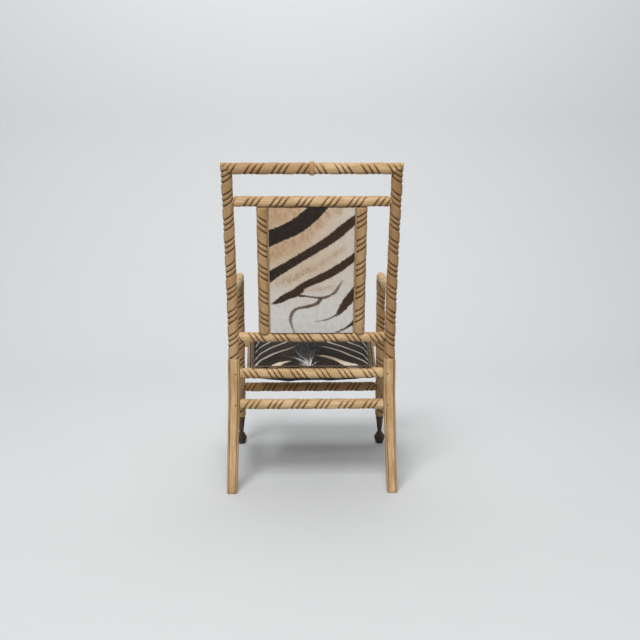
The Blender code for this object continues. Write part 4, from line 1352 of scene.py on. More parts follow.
@dataclass
class BackFrame:
    """Crest, back rails and stiles between the rear posts, and the rails behind the seat."""

    ring_dia: float = 0.0414
    ring_width: float = 0.0138
    ring_power: float = 0.5
    ring_sink: float = 0.0006
    ring_columns: int = 48
    crest_gap: float = 0.0015
    crest_rim_zone: float = 0.0040
    crest_rim_share: float = 0.90
    stile_collar: float = 0.013

    def crest(self) -> None:
        """Carve the crest as two mirrored halves that meet under a ring."""
        rope = ROPES["crest_rail"]
        for side in Side:
            corner = PLAN.rear_point(PLAN.crest_z, side)
            middle = corner * (0, 1, 1)
            mitre = StickEnd.mitre(ACROSS * side, PLAN.rear_axis(PLAN.crest_z, side))
            butt = StickEnd.butt(ACROSS * side, self.crest_gap, self.crest_rim_zone, self.crest_rim_share)
            if side is Side.LEFT:
                path, near, far = StraightPath(corner, middle), mitre, butt
                half = Rope(rope.hand, rope.lead, rope.start + abs(corner[0]))
            else:
                path, near, far = StraightPath(middle, corner), butt, mitre
                half = Rope(Hand(-rope.hand), rope.lead, -rope.start - rope.band_share * rope.lead)
            RopeStick(f"crest_{side.label}", path, PLAN.crest_dia, half, near, far).build("crest_rail")

    def ring(self) -> None:
        """Turn the ring at the middle of the crest: a full bead, whose height is a power of a sine."""
        centre = PLAN.rear_point(PLAN.crest_z, Side.LEFT) * (0, 1, 1)
        bead = np.linspace(0.0, math.pi, 15)
        foot = PLAN.crest_dia / 2 - self.ring_sink
        rise = (self.ring_dia / 2 - foot) * np.sin(bead) ** self.ring_power
        profile = np.stack((-self.ring_width / 2 * np.cos(bead), foot + rise), axis=1)
        data = turned_body(centre, ACROSS, UP, profile, self.ring_columns, TONES["crest_ring"])
        show("crest_ring", data.mesh("crest_ring"), CARVED_WOOD, "crest_rail")

    def rails(self) -> None:
        """Carve the four rails between the rear posts."""
        plan = (("upper_back_rail", PLAN.upper_back_rail_z, PLAN.back_rail_dia, PLAN.post_dia),
                ("lower_back_rail", PLAN.lower_back_rail_z, PLAN.back_rail_dia, PLAN.post_dia),
                ("seat_rail_rear", PLAN.seat_rail_z, PLAN.seat_rail_dia, PLAN.leg_width),
                ("stretcher_rear", PLAN.rear_stretcher_z, PLAN.stretcher_dia, PLAN.leg_width))
        for node, z, diameter, host in plan:
            ends = [PLAN.rear_point(z, side) for side in Side]
            axes = [PLAN.rear_axis(z, side) for side in Side]
            jointed(node, ends, axes, (host, host), diameter)

    def stiles(self) -> None:
        """Carve the two stiles, which have plain collars at both ends."""
        hosts = (PLAN.back_rail_dia, PLAN.back_rail_dia)
        for side in Side:
            heights = (PLAN.lower_back_rail_z, PLAN.upper_back_rail_z)
            ends = [np.array((side * PLAN.stile_x, PLAN.rear_point(z, side)[1], z)) for z in heights]
            node = f"back_stile_{side.label}"
            jointed(node, ends, (ACROSS, ACROSS), hosts, PLAN.stile_dia, self.stile_collar)

    def build(self) -> None:
        """Make the crest, rails and stiles, and dress the dowels in the crest's corners."""
        self.crest()
        self.ring()
        self.rails()
        self.stiles()
        for side in Side:
            dress(f"crest_dowel_{side.label}", DOWEL_WOOD)


@dataclass(frozen=True)
class ClawFoot:
    """Claw foot of a front post: a tapered shank with a ring, over a ball that four talons grip."""

    top_radius: float = 0.0134
    taper_power: float = 0.85
    ring: Bell = Bell(0.092, 0.0022, 0.0014)
    neck_radius: float = 0.0066
    neck_z: float = 0.042
    ankle: Bell = Bell(0.036, 0.006, 0.004)
    ball_z: float = 0.0190
    ball_half: float = 0.0205
    ball_radius: float = 0.0166
    base: Ease = Ease(0.015, -0.014)
    base_radius: float = 0.0118
    talons: int = 4
    talon_reach: float = 0.0193
    talon: Bell = Bell(0.0, 0.26)
    talon_tip: Ease = Ease(-0.004, 0.010)
    talon_root: Ease = Ease(0.046, -0.012)
    knuckle_z: float = 0.0235
    knuckle_half: float = 0.0105
    knuckle_share: float = 0.28
    valley: Bell = Bell(1.45 * 0.26, 0.13)
    valley_top: Ease = Ease(0.042, -0.006)
    valley_depth: float = 0.0007
    valley_stain: float = 0.9
    grain_shift: float = 0.7
    columns: int = 96
    rows: int = 80

    def data(self, side: Side) -> MeshData:
        """The foot of one post.

        The radius is that of the shank above the neck, and below it the largest of ball, base and ankle, plus a
        ridge for each talon. A ridge falls off as a bell in the angle from the talon's middle and swells at its
        knuckles. A shallow valley runs on both sides of it.

        Args:
            side: Which foot.

        Returns:
            The closed foot with its grain place and the darkening of its valleys.
        """
        angle = np.linspace(0.0, TURN, self.columns + 1)
        z = np.linspace(0.0, PLAN.foot_height - FIT, self.rows)[:, None]
        ball = self.ball_radius * np.sqrt(np.clip(1.0 - ((z - self.ball_z) / self.ball_half) ** 2, 0.0, 1.0))
        base = self.base_radius * self.base.at(z)
        ankle = self.neck_radius + self.ankle.at(z)
        climb = np.clip((z - self.neck_z) / (PLAN.foot_height - self.neck_z), 0.0, 1.0)
        shank = self.neck_radius + (self.top_radius - self.neck_radius) * climb ** self.taper_power
        below = z < self.neck_z
        body = np.where(below, np.maximum(np.maximum(ball, base), ankle), shank + self.ring.at(z))

        sector = TURN / self.talons
        talon = np.mod(angle + sector / 2, sector) - sector / 2
        ridge = self.talon.at(talon)
        beat = np.cos((z - self.knuckle_z) / self.knuckle_half * math.pi)
        reach = (self.talon_reach - self.ball_radius) * (1.0 - self.knuckle_share + self.knuckle_share * beat)
        grip = reach * self.talon_tip.at(z) * self.talon_root.at(z)
        valley = np.where(below, 1.0 - ridge, 0.0) * self.valley_top.at(z) * self.valley.at(np.abs(talon))
        radius = body + grip * ridge - self.valley_depth * valley

        centre = PLAN.front_point(0.0, side)
        rows = about_axis(*np.broadcast_arrays(radius, angle, z)) + centre
        points = capped(rows, centre, centre + UP * z[-1, 0])
        stain = self.valley_stain * np.pad(valley, ((1, 1), (0, 0)))
        return closed_grid(points, {"stick_place": points + self.grain_shift * side, "groove": stain})


@dataclass
class FrontFrame:
    """Front posts with their claw feet, the arms, and the rails and stretchers that tie front and back."""

    claw: ClawFoot = ClawFoot()
    post_rim_zone: float = 0.0140
    post_rim_share: float = 0.80

    def feet(self) -> None:
        """Carve both front feet."""
        for side in Side:
            node = f"front_foot_{side.label}"
            show(f"claw_{node}", self.claw.data(side).mesh(node, sharp=60.0), FOOT_WOOD, node)

    def arms(self) -> None:
        """Carve the front posts and the arms, which meet in a mitre."""
        for side in Side:
            corner = PLAN.front_point(PLAN.arm_front_z, side)
            rear = PLAN.rear_point(PLAN.arm_rear_z, side)
            along = unit(corner - rear)
            post, arm = f"front_post_{side.label}", f"arm_{side.label}"
            path = StraightPath(PLAN.front_point(PLAN.foot_height, side), corner)
            near = StickEnd.butt(UP, FIT, self.post_rim_zone, self.post_rim_share)
            RopeStick(post, path, PLAN.front_dia, ROPES[post], near, StickEnd.mitre(UP, along)).build(post)
            path = StraightPath(rear, corner)
            near = StickEnd.shoulder(along, PLAN.rear_axis(PLAN.arm_rear_z, side), PLAN.post_dia)
            RopeStick(arm, path, PLAN.front_dia, ROPES[arm], near, StickEnd.mitre(along, UP)).build(arm)
            dress(f"arm_dowel_{side.label}", DOWEL_WOOD)

    def rails(self) -> None:
        """Carve the front rail and stretcher, the side stretchers and the side rails of the seat."""
        front = (("seat_rail_front", PLAN.seat_rail_z + PLAN.seat_front_rise, PLAN.seat_rail_dia),
                 ("stretcher_front", PLAN.front_stretcher_z, PLAN.stretcher_dia))
        for node, z, diameter in front:
            ends = [PLAN.front_point(z, side) for side in Side]
            jointed(node, ends, (UP, UP), (PLAN.front_dia, PLAN.front_dia), diameter)
        z = PLAN.side_stretcher_z
        depths = (PLAN.rear_y, PLAN.front_y)
        for side in Side:
            ends = (PLAN.rear_point(z, side), PLAN.front_point(z, side))
            hosts = (PLAN.leg_width, PLAN.front_dia)
            jointed(f"stretcher_{side.label}", ends, (PLAN.rear_axis(z, side), UP), hosts, PLAN.stretcher_dia)
            ends = [np.array((side * PLAN.seat_half(y), y, PLAN.seat_rail_height(y))) for y in depths]
            hosts = (PLAN.seat_rail_dia, PLAN.seat_rail_dia)
            jointed(f"seat_rail_{side.label}", ends, (ACROSS, ACROSS), hosts, PLAN.seat_rail_dia)

    def build(self) -> None:
        """Make the feet, arms and rails."""
        self.feet()
        self.arms()
        self.rails()


# Powers of the way along a stripe by which its two shades change.
SHADES = {"brown": 1.0, "faded": 3.0}


@dataclass(frozen=True)
class Stripe:
    """One stripe on a hide: knots of place across, place up and half width, in millimetres.

    Brown is the share of brown in its dark hair, and faded the share of golden hair, each at its two ends.
    """

    knots: tuple[Triple, ...]
    brown: tuple[float, float] = (0.0, 0.0)
    faded: tuple[float, float] = (0.0, 0.0)
    steps: int = 8

    def line(self) -> Array:
        """Smooth line through the knots: a Catmull-Rom curve with a few steps between two knots, in metres."""
        knots = np.array(self.knots) / 1000.0
        padded = np.concatenate((2 * knots[:1] - knots[1:2], knots, 2 * knots[-1:] - knots[-2:-1]))
        a, b, c, d = (padded[k:len(padded) - 3 + k, None] for k in range(4))
        t = np.linspace(0.0, 1.0, self.steps, endpoint=False)[None, :, None]
        bend = (2 * a - 5 * b + 4 * c - d) * t ** 2 + (3 * b - a - 3 * c + d) * t ** 3
        return np.concatenate(((0.5 * (2 * b + (c - a) * t + bend)).reshape(-1, 3), knots[-1:]))

    def depth(self, across: Array, up: Array) -> tuple[Array, Array]:
        """How far points lie inside the stripe: its half width less the distance to its line.

        Args:
            across: Places across the hide.
            up: Places up the hide.

        Returns:
            Depths in metres, below 0 outside the stripe, and shares of the way along its line.
        """
        line = self.line()
        start, way = line[:-1].T, np.diff(line, axis=0).T
        aside, above = across[:, None] - start[0], up[:, None] - start[1]
        share = np.clip((aside * way[0] + above * way[1]) / (way[0] ** 2 + way[1] ** 2), 0.0, 1.0)
        inside = start[2] + share * way[2] - np.hypot(aside - share * way[0], above - share * way[1])
        nearest = inside.argmax(axis=1)
        points = np.arange(len(across))
        return inside[points, nearest], (nearest + share[points, nearest]) / way.shape[1]


def deepest(stripes: Sequence[Stripe], across: Array, up: Array) -> dict[str, Array]:
    """Greatest depth over all stripes, with the brown and the fading of the stripe that gives it.

    Args:
        stripes: The stripes.
        across: Places across the hide.
        up: Places up the hide.

    Returns:
        Depths in metres and two shares, by name.
    """
    found = [stripe.depth(across, up) for stripe in stripes]
    depths = np.stack([depth for depth, _ in found])
    winner = depths.argmax(axis=0)[None]
    made = {"dark_depth": depths.max(axis=0)}
    for name, power in SHADES.items():
        ends = [getattr(stripe, name) for stripe in stripes]
        ramps = np.stack([low + (high - low) * share ** power for (low, high), (_, share) in zip(ends, found)])
        made[name] = np.take_along_axis(ramps, winner, axis=0)[0]
    return made


def turned_hair(across: Array, along: Array, lean: float | Array) -> Array:
    """Places on a hide, turned so that Y runs along hair that leans by an angle in radians."""
    return np.stack((across * np.cos(lean) + along * np.sin(lean), along * np.cos(lean) - across * np.sin(lean),
                     np.zeros_like(along)), axis=1)


def dome(across: Array, along: Array) -> Array:
    """Height share over a field: (1 - across^2)(1 - along^2), 1 at its middle and 0 from its edges outwards."""
    return (1 - across ** 2).clip(0) * (1 - along ** 2).clip(0)


@dataclass(frozen=True)
class Swelling:
    """Cloth settings with which a closed pad swells under pressure from inside."""

    pressure: float = 4.0
    quality: int = 6
    mass: float = 0.4
    tension: float = 22.0
    compression: float = 18.0
    bending: float = 1.2
    frames: int = 20
    held_below: float = 0.05

    def apply(self, piece: Object, free: Array, cap: float) -> None:
        """Let the free points of a pad swell by a capped distance, and keep the result.

        Args:
            piece: The pad.
            free: Share of movement allowed to each point, 0 to 1.
            cap: Greatest movement in metres.
        """
        scene = bpy.context.scene
        start = mesh_points(piece.data)
        group = piece.vertex_groups.new(name="held")
        group.add(np.flatnonzero(free < self.held_below).tolist(), 1.0, "REPLACE")
        cloth = piece.modifiers.new("swelling", "CLOTH")
        cloth.settings.vertex_group_mass = group.name
        cloth.settings.use_pressure = True
        cloth.settings.uniform_pressure_force = self.pressure
        cloth.settings.effector_weights.gravity = 0.0
        cloth.settings.quality = self.quality
        cloth.settings.mass = self.mass
        cloth.settings.tension_stiffness = self.tension
        cloth.settings.compression_stiffness = self.compression
        cloth.settings.bending_stiffness = self.bending
        cloth.point_cache.frame_start = 1
        cloth.point_cache.frame_end = self.frames
        for number in range(1, self.frames + 1):
            scene.frame_set(number)
        graph = bpy.context.evaluated_depsgraph_get()
        moved = mesh_points(piece.evaluated_get(graph).data)
        piece.modifiers.remove(cloth)
        piece.vertex_groups.remove(group)
        scene.frame_set(1)
        way = moved - start
        distance = np.linalg.norm(way, axis=1, keepdims=True)
        kept = np.nan_to_num(way / (1.0 + distance / cap)) * free[:, None]
        piece.data.vertices.foreach_set("co", (start + kept).astype(np.float32).ravel())
        piece.data.update()
        LOG.info("%s swelled by up to %.1f mm", piece.name, 1000.0 * np.linalg.norm(kept, axis=1).max())


SWELLING = Swelling()


def finer(piece: Object) -> None:
    """Subdivide a piece once as a smooth surface and keep the result as its mesh."""
    modifier = piece.modifiers.new("finer", "SUBSURF")
    modifier.levels = 1
    modifier.render_levels = 1
    graph = bpy.context.evaluated_depsgraph_get()
    mesh = bpy.data.meshes.new_from_object(piece.evaluated_get(graph))
    piece.modifiers.remove(modifier)
    rough = piece.data
    piece.data = mesh
    bpy.data.meshes.remove(rough)
    mesh.name = piece.name
    mesh.shade_smooth()


BACK_STRIPES = (
    Stripe(((-12, 306, 26), (0, 312, 25), (40, 330, 23.5), (80, 350, 24), (115, 377, 24), (140, 400, 23),
            (165, 428, 22))),
    Stripe(((-10, 184, 17), (0, 190, 17), (20, 204, 15), (60, 230, 13.5), (100, 257, 13.5),
            (140, 282, 13.5),
            (180, 309, 14.5), (205, 328, 15.5), (235, 354, 14.5), (266, 377, 14)), (0.0, 1.0)),
    Stripe(((268, 262, 12.5), (240, 241, 12.5), (200, 213, 13.5), (160, 191, 13), (120, 172, 11.5),
            (99, 160, 10.5),
            (88, 148, 14), (74, 137, 13.5), (56, 130, 11.5), (38, 118, 10.5), (20, 107, 6.5),
            (7, 102, 2.5)),
           (0.8, 1.0)),
    Stripe(((90, 131, 5), (108, 129, 3.6), (128, 126, 3.0), (142, 123.5, 3.0), (156, 122.5, 4.6),
            (170, 125.5, 4.2),
            (184, 131, 3.8), (196, 139, 4.8), (205, 151, 5.4), (213, 165, 4.0), (221, 178, 2.2)),
           (1.0, 1.0), (0.10, 0.95)),
    Stripe(((157, 122, 4.6), (151, 113, 5.6), (143, 104, 6.2), (130, 98.5, 5.4), (115, 94, 5.8),
            (100, 91, 5.0),
            (86, 88, 4.6), (76, 82, 5.0), (68, 71, 5.4), (64, 58, 5.4), (63, 44, 4.6), (66, 29, 3.6),
            (71, 14, 3.0),
            (77, -4, 2.8)), (1.0, 1.0), (0.25, 0.85)),
    Stripe(((268, 148, 17), (250, 126, 16.5), (236, 109, 14.5), (224, 91, 12), (213, 75, 8.5),
            (205, 66, 4.5),
            (195, 60, 3.0), (184, 54, 2.8), (170, 48, 2.4), (154, 45, 1.8), (136, 43, 0.8)),
           (0.85, 1.0), (0.0, 0.9)),
    Stripe(((268, 44, 11), (252, 33, 6.5), (238, 23, 4.4), (224, 14.5, 3.6), (208, 6, 3.2), (194, -4, 3.0)),
           (0.9, 1.0), (0.0, 0.8)),
    Stripe(((62, 172, 0.2), (88, 191, 1.1), (116, 208, 1.1), (140, 219, 0.2)), (1.0, 1.0), (0.7, 0.7)),
    Stripe(((74, 191, 0.0), (96, 206, 0.7), (122, 220, 0.3)), (1.0, 1.0), (0.7, 0.7)),
)
BACK_TANS = (
    Stripe(((-8, 258, 24), (40, 281, 24), (90, 304, 20), (128, 342, 19), (168, 384, 20), (205, 402, 16))),
    Stripe(((25, 172, 10), (60, 180, 12), (90, 201, 10), (118, 216, 9), (142, 225, 8), (182, 253, 7),
            (220, 277, 6))),
    # This band, along the top left just under the upper rail, is partly tan hair and partly painted shade of
    # the rail.
    Stripe(((-6, 384, 34), (40, 392, 32), (84, 408, 22))),
    Stripe(((110, 150, 5), (150, 150, 6), (190, 160, 5))),
)


@dataclass
class BackPanel:
    """Board between the stiles with a padded, striped hide on each face."""

    margin: float = 0.0012
    board_thickness: float = 0.009
    rear_swell: float = 0.010
    front_swell: float = 0.024
    edge_share: float = 0.25
    fullness: float = 0.45
    hide: float = 0.0021
    rim_width: float = 0.0016
    free: Ease = Ease(0.004, 0.03)
    swell_cap: float = 0.003
    hair_lean: float = 28.0
    warm_up: Ease = Ease(0.05, 0.22)
    warm_side: float = 1.05
    warm_fall: float = 0.3
    tan_share: float = 0.80
    tan: Ease = Ease(-0.012, 0.026)
    columns: int = 64
    rows: int = 100

    @property
    def half_width(self) -> float:
        """Half width of the hide between the stiles."""
        return PLAN.stile_x - PLAN.stile_dia / 2 - self.margin

    def axes(self) -> tuple[Array, Array, Array, float]:
        """Panel's centre, its direction up, its direction out to the rear, and its height."""
        low, high = (PLAN.rear_point(z, Side.RIGHT) * (0, 1, 1)
                     for z in (PLAN.lower_back_rail_z, PLAN.upper_back_rail_z))
        rise = high - low
        up = unit(rise)
        height = float(np.linalg.norm(rise)) - PLAN.back_rail_dia - 2 * FIT
        return low + rise / 2, up, np.cross(ACROSS, up), height

    def side(self, label: str, facing: int, swelling: float, padding: str) -> None:
        """Pad with its hide on one face of the board.

        The pad's height over the board is swelling times an edge share plus a crown of
        ((1 - across^2)(1 - along^2))^fullness.

        Args:
            label: Word for the face in names.
            facing: 1 for the rear face and -1 for the front face.
            swelling: Height of the crown in metres.
            padding: Solid of the padding that the piece also stands for.
        """
        centre, up, out, height = self.axes()
        half = (self.half_width, height / 2)
        lines = [np.concatenate(([-size], (size - self.rim_width) * crowded(count), [size]))
                 for size, count in zip(half, (self.columns, self.rows))]
        x, y = np.meshgrid(*lines)
        crown = dome(x / half[0], y / half[1]) ** self.fullness
        board = self.board_thickness / 2 + FIT
        rise = board + self.hide + swelling * (self.edge_share + (1 - self.edge_share) * crown)
        rise[[0, -1], :] = board
        rise[:, [0, -1]] = board
        plan = centre + x[..., None] * ACROSS * facing + y[..., None] * up
        faces = [plan + level[..., None] * out * facing for level in (rise, np.full_like(rise, board))]
        name = f"back_pad_{label}"
        mesh = pillow_grid(*faces).mesh(name, NO_CREASE)
        piece = show(name, mesh, BACK_HIDE, f"back_hide_{label}", padding)
        local = (mesh_points(mesh) - centre) @ np.stack((ACROSS, up, out), axis=1)
        inset = np.minimum(half[0] - np.abs(local[:, 0]), half[1] - np.abs(local[:, 1]))
        outer = local[:, 2] * facing > board + self.hide
        SWELLING.apply(piece, self.free.at(inset) * outer, self.swell_cap)
        finer(piece)
        self.colour(piece.data, facing)

    def colour(self, mesh: Mesh, facing: int) -> None:
        """Store the hide's stripes and tints on a finished pad.

        Args:
            mesh: Mesh of the pad.
            facing: 1 for the rear face; the front face has the stripes mirrored.
        """
        centre, up, _, height = self.axes()
        points = mesh_points(mesh) - centre
        across = self.half_width + facing * (points @ ACROSS)
        along = height / 2 + points @ up
        tan = deepest(BACK_TANS, across, along)["dark_depth"]
        fall = self.warm_side - self.warm_fall * across / self.half_width
        set_values(mesh, {"hide_place": turned_hair(across, along, math.radians(self.hair_lean)),
                          "tan": self.tan_share * self.tan.at(tan),
                          "warmth": self.warm_up.at(along) * smooth(fall),
                          **deepest(BACK_STRIPES, across, along)})

    def build(self) -> None:
        """Cover both faces and dress the board between them."""
        self.side("rear", 1, self.rear_swell, "back_wadding_rear")
        self.side("front", -1, self.front_swell, "back_padding_front")
        dress("back_panel_board", RAW_BOARD)


# Place of the seat's middle across the tables of its stripes and tufts.
HIDE_MIDDLE = 0.210
SEAT_STRIPES = (
    Stripe(((26, 175, 1), (30, 215, 2.6), (43, 238, 3), (58, 267, 3.2), (78, 305, 3.6), (104, 365, 4),
            (130, 465, 4.4))),
    Stripe(((24, 80, 1.5), (29, 98, 2.8), (41, 133, 3.4), (60, 167, 3.8), (80, 201, 4.0), (106, 233, 4.2),
            (134, 275, 4.6), (160, 340, 4.8), (176, 420, 4.4), (182, 465, 4))),
    Stripe(((26, 0, 3), (33, 18, 4.2), (47, 57, 5.2), (66, 81, 5.4), (88, 111, 5.6), (110, 134, 5.8),
            (131, 152, 5),
            (148, 174, 3.4), (160, 195, 1.5))),
    Stripe(((82, -2, 9), (94, 11, 8), (104, 17, 7), (115, 23, 6), (129, 29, 4), (142, 34, 1.5))),
    Stripe(((22, 280, 1.5), (30, 320, 3), (44, 365, 3.4), (64, 420, 3.8), (84, 465, 4))),
    Stripe(((18, 380, 2), (26, 415, 3), (40, 465, 3.6))),
    Stripe(((400, 150, 2), (398, 175, 3), (391, 215, 3.4), (377, 235, 3.6), (354, 257, 4), (328, 290, 4.4),
            (300, 345, 4.6), (278, 410, 4.6), (266, 465, 4.4))),
    Stripe(((398, 50, 2), (394, 80, 3), (387, 114, 3.8), (371, 135, 4.2), (352, 157, 4.4), (330, 179, 4.6),
            (310, 202, 4.8), (290, 222, 5), (268, 255, 5), (244, 310, 4.6), (226, 390, 4.2),
            (220, 465, 4))),
    Stripe(((388, 34, 2), (378, 50, 4), (359, 68, 4.6), (334, 93, 5), (310, 125, 5.2), (285, 152, 5),
            (264, 171, 4),
            (247, 182, 2.4), (236, 190, 1))),
    Stripe(((354, -2, 10), (344, 9, 9.5), (322, 18, 9), (303, 30, 8.5), (284, 49, 8.5), (262, 66, 8.5),
            (240, 76, 8),
            (223, 79, 6.5), (210, 79, 4))),
    Stripe(((402, 265, 1.5), (394, 310, 3), (380, 355, 3.4), (358, 415, 3.8), (338, 465, 4))),
    Stripe(((403, 375, 2), (396, 412, 3), (384, 465, 3.6))),
    Stripe(((404, 2, 6), (398, 9, 4), (388, 13, 1.5))),
)
SEAT_BROWNS = (Stripe(((126, 50, 15), (133, 90, 18), (138, 130, 11))),)


def nearest_height(points: Array, x: Array, y: Array) -> Array:
    """Height of the point that lies nearest in plan to each place.

    Args:
        points: Points of a surface.
        x: Places across.
        y: Places along.

    Returns:
        Heights in the places' shape.
    """
    gap = np.hypot(x.ravel()[:, None] - points[None, :, 0], y.ravel()[:, None] - points[None, :, 1])
    return points[gap.argmin(axis=1), 2].reshape(x.shape)


@dataclass(frozen=True)
class Tuft:
    """Bundle of long hairs laid along a line: how pale they are and how many."""

    line: Stripe
    pale: float
    hairs: int


MANE = (
    Tuft(Stripe(((205, 7, 1.5), (208, 27, 2), (213, 58, 3), (221, 109, 5), (231, 156, 7),
                 (246, 225, 10))), 1.0, 18),
    Tuft(Stripe(((205, 7, 2), (204, 51, 4), (206, 119, 7), (210, 200, 10), (216, 290, 14))), 0.6, 14),
    Tuft(Stripe(((203, 7, 1.5), (192, 30, 3), (180, 67, 5), (167, 117, 7), (154, 162, 9),
                 (140, 205, 12))), 0.9, 18),
    Tuft(Stripe(((202, 7, 1.5), (184, 27, 3), (167, 46, 5), (150, 70, 7), (138, 103, 9),
                 (128, 140, 12))), 1.0, 20),
    Tuft(Stripe(((201, 6, 1.5), (184, 13, 3), (168, 18, 5), (148, 22, 7))), 0.9, 10),
    Tuft(Stripe(((207, 6, 1.5), (217, 16, 3), (227, 22, 4), (243, 28, 6))), 0.7, 8),
    Tuft(Stripe(((204, 7, 1.5), (197, 50, 4), (190, 100, 7), (184, 170, 10))), 0.8, 14),
    Tuft(Stripe(((203, 6, 1.5), (189, 19, 3), (175, 33, 5), (158, 44, 7))), 0.9, 12),
    Tuft(Stripe(((209, 225, 12), (213, 300, 14), (216, 370, 14), (219, 445, 12))), 0.12, 40),
    Tuft(Stripe(((203, 10, 10), (200, 110, 24), (204, 240, 30), (210, 430, 24))), 0.04, 120),
)


@dataclass(frozen=True)
class Mane:
    """Mane along the middle of the seat's hide: tufts of thin tapered hairs that run from the rear."""

    seed: int = 11
    reach: float = 0.115
    stations: int = 8
    latest_start: float = 0.50
    shortest: float = 0.30
    longer: float = 0.20
    root_spread: float = 0.8
    tip_spread: float = 1.4
    lift: float = 0.0006
    arch: float = 0.0030
    dullest: float = 0.30
    root_pale: float = 1.9
    pale_fall: float = 1.6
    radius: float = 0.0008
    taper: float = 0.85

    def build(self, hide: Array) -> None:
        """Lay all the tufts on the hide.

        A hair follows a stretch of its tuft's line, moves from one sideways shift to another, and rises off the
        hide as a sine.

        Args:
            hide: Points of the hide's upper side.
        """
        random = np.random.default_rng(self.seed)
        hide = hide[np.abs(hide[:, 0]) < self.reach]
        run = np.linspace(0.0, 1.0, self.stations)[None, :]
        bundles = []
        for tuft in MANE:
            each = (tuft.hairs, 1)
            line = tuft.line.line()
            share = np.linspace(0.0, 1.0, len(line))
            first = self.latest_start * random.random(each) ** 2.0
            place = first + (self.shortest + self.longer * random.random(each)) * run
            x, y, spread = (np.interp(place, share, line[:, k]) for k in range(3))
            root = random.normal(0.0, self.root_spread, each)
            tip = random.normal(0.0, self.tip_spread, each)
            x = x - HIDE_MIDDLE + spread * (root * (1.0 - run) + tip * run)
            y = y + PLAN.rear_y
            arch = self.arch * random.random(each) * np.sin(math.pi * run)
            z = nearest_height(hide, x, y) + self.lift + arch
            heading = np.arctan2(np.gradient(x, axis=1), np.gradient(y, axis=1))
            pale = tuft.pale * (self.dullest + (1.0 - self.dullest) * random.random(each))
            pale = np.clip(pale * (self.root_pale - self.pale_fall * place), 0.0, 1.0)
            bundles.append((np.stack((x, y, z), axis=-1), heading, pale))
        hairs = self.tubes(*(np.concatenate(parts) for parts in zip(*bundles)))
        show("seat_mane", hairs.mesh("seat_mane", NO_CREASE), MANE_HAIR)

    def tubes(self, line: Array, heading: Array, pale: Array) -> MeshData:
        """Three-sided tubes about many lines at once, which narrow evenly to their tips.

        Args:
            line: Points of the lines, as hairs, stations and coordinates.
            heading: Directions in plan at these points, from +Y towards +X.
            pale: How pale the hair is there.

        Returns:
            The closed tubes.
        """
        narrow = 1.0 - self.taper * np.linspace(0.0, 1.0, self.stations)
        radius = self.radius * np.concatenate(([0.0], narrow, [0.0]))[None, :, None, None]
        line, heading, pale = (np.concatenate((part[:, :1], part, part[:, -1:]), axis=1)
                               for part in (line, heading, pale))
        angle = np.linspace(0.0, TURN, 4)[None, None, :, None]
        side = np.stack((-np.cos(heading), np.sin(heading), np.zeros_like(heading)), axis=-1)[:, :, None]
        points = line[:, :, None] + radius * (np.cos(angle) * side + np.sin(angle) * UP)
        tone = np.repeat(pale[..., None], 4, axis=2).reshape(-1)
        return MeshData(*many_grids(points), {"pale": tone}).welded(1e-7)


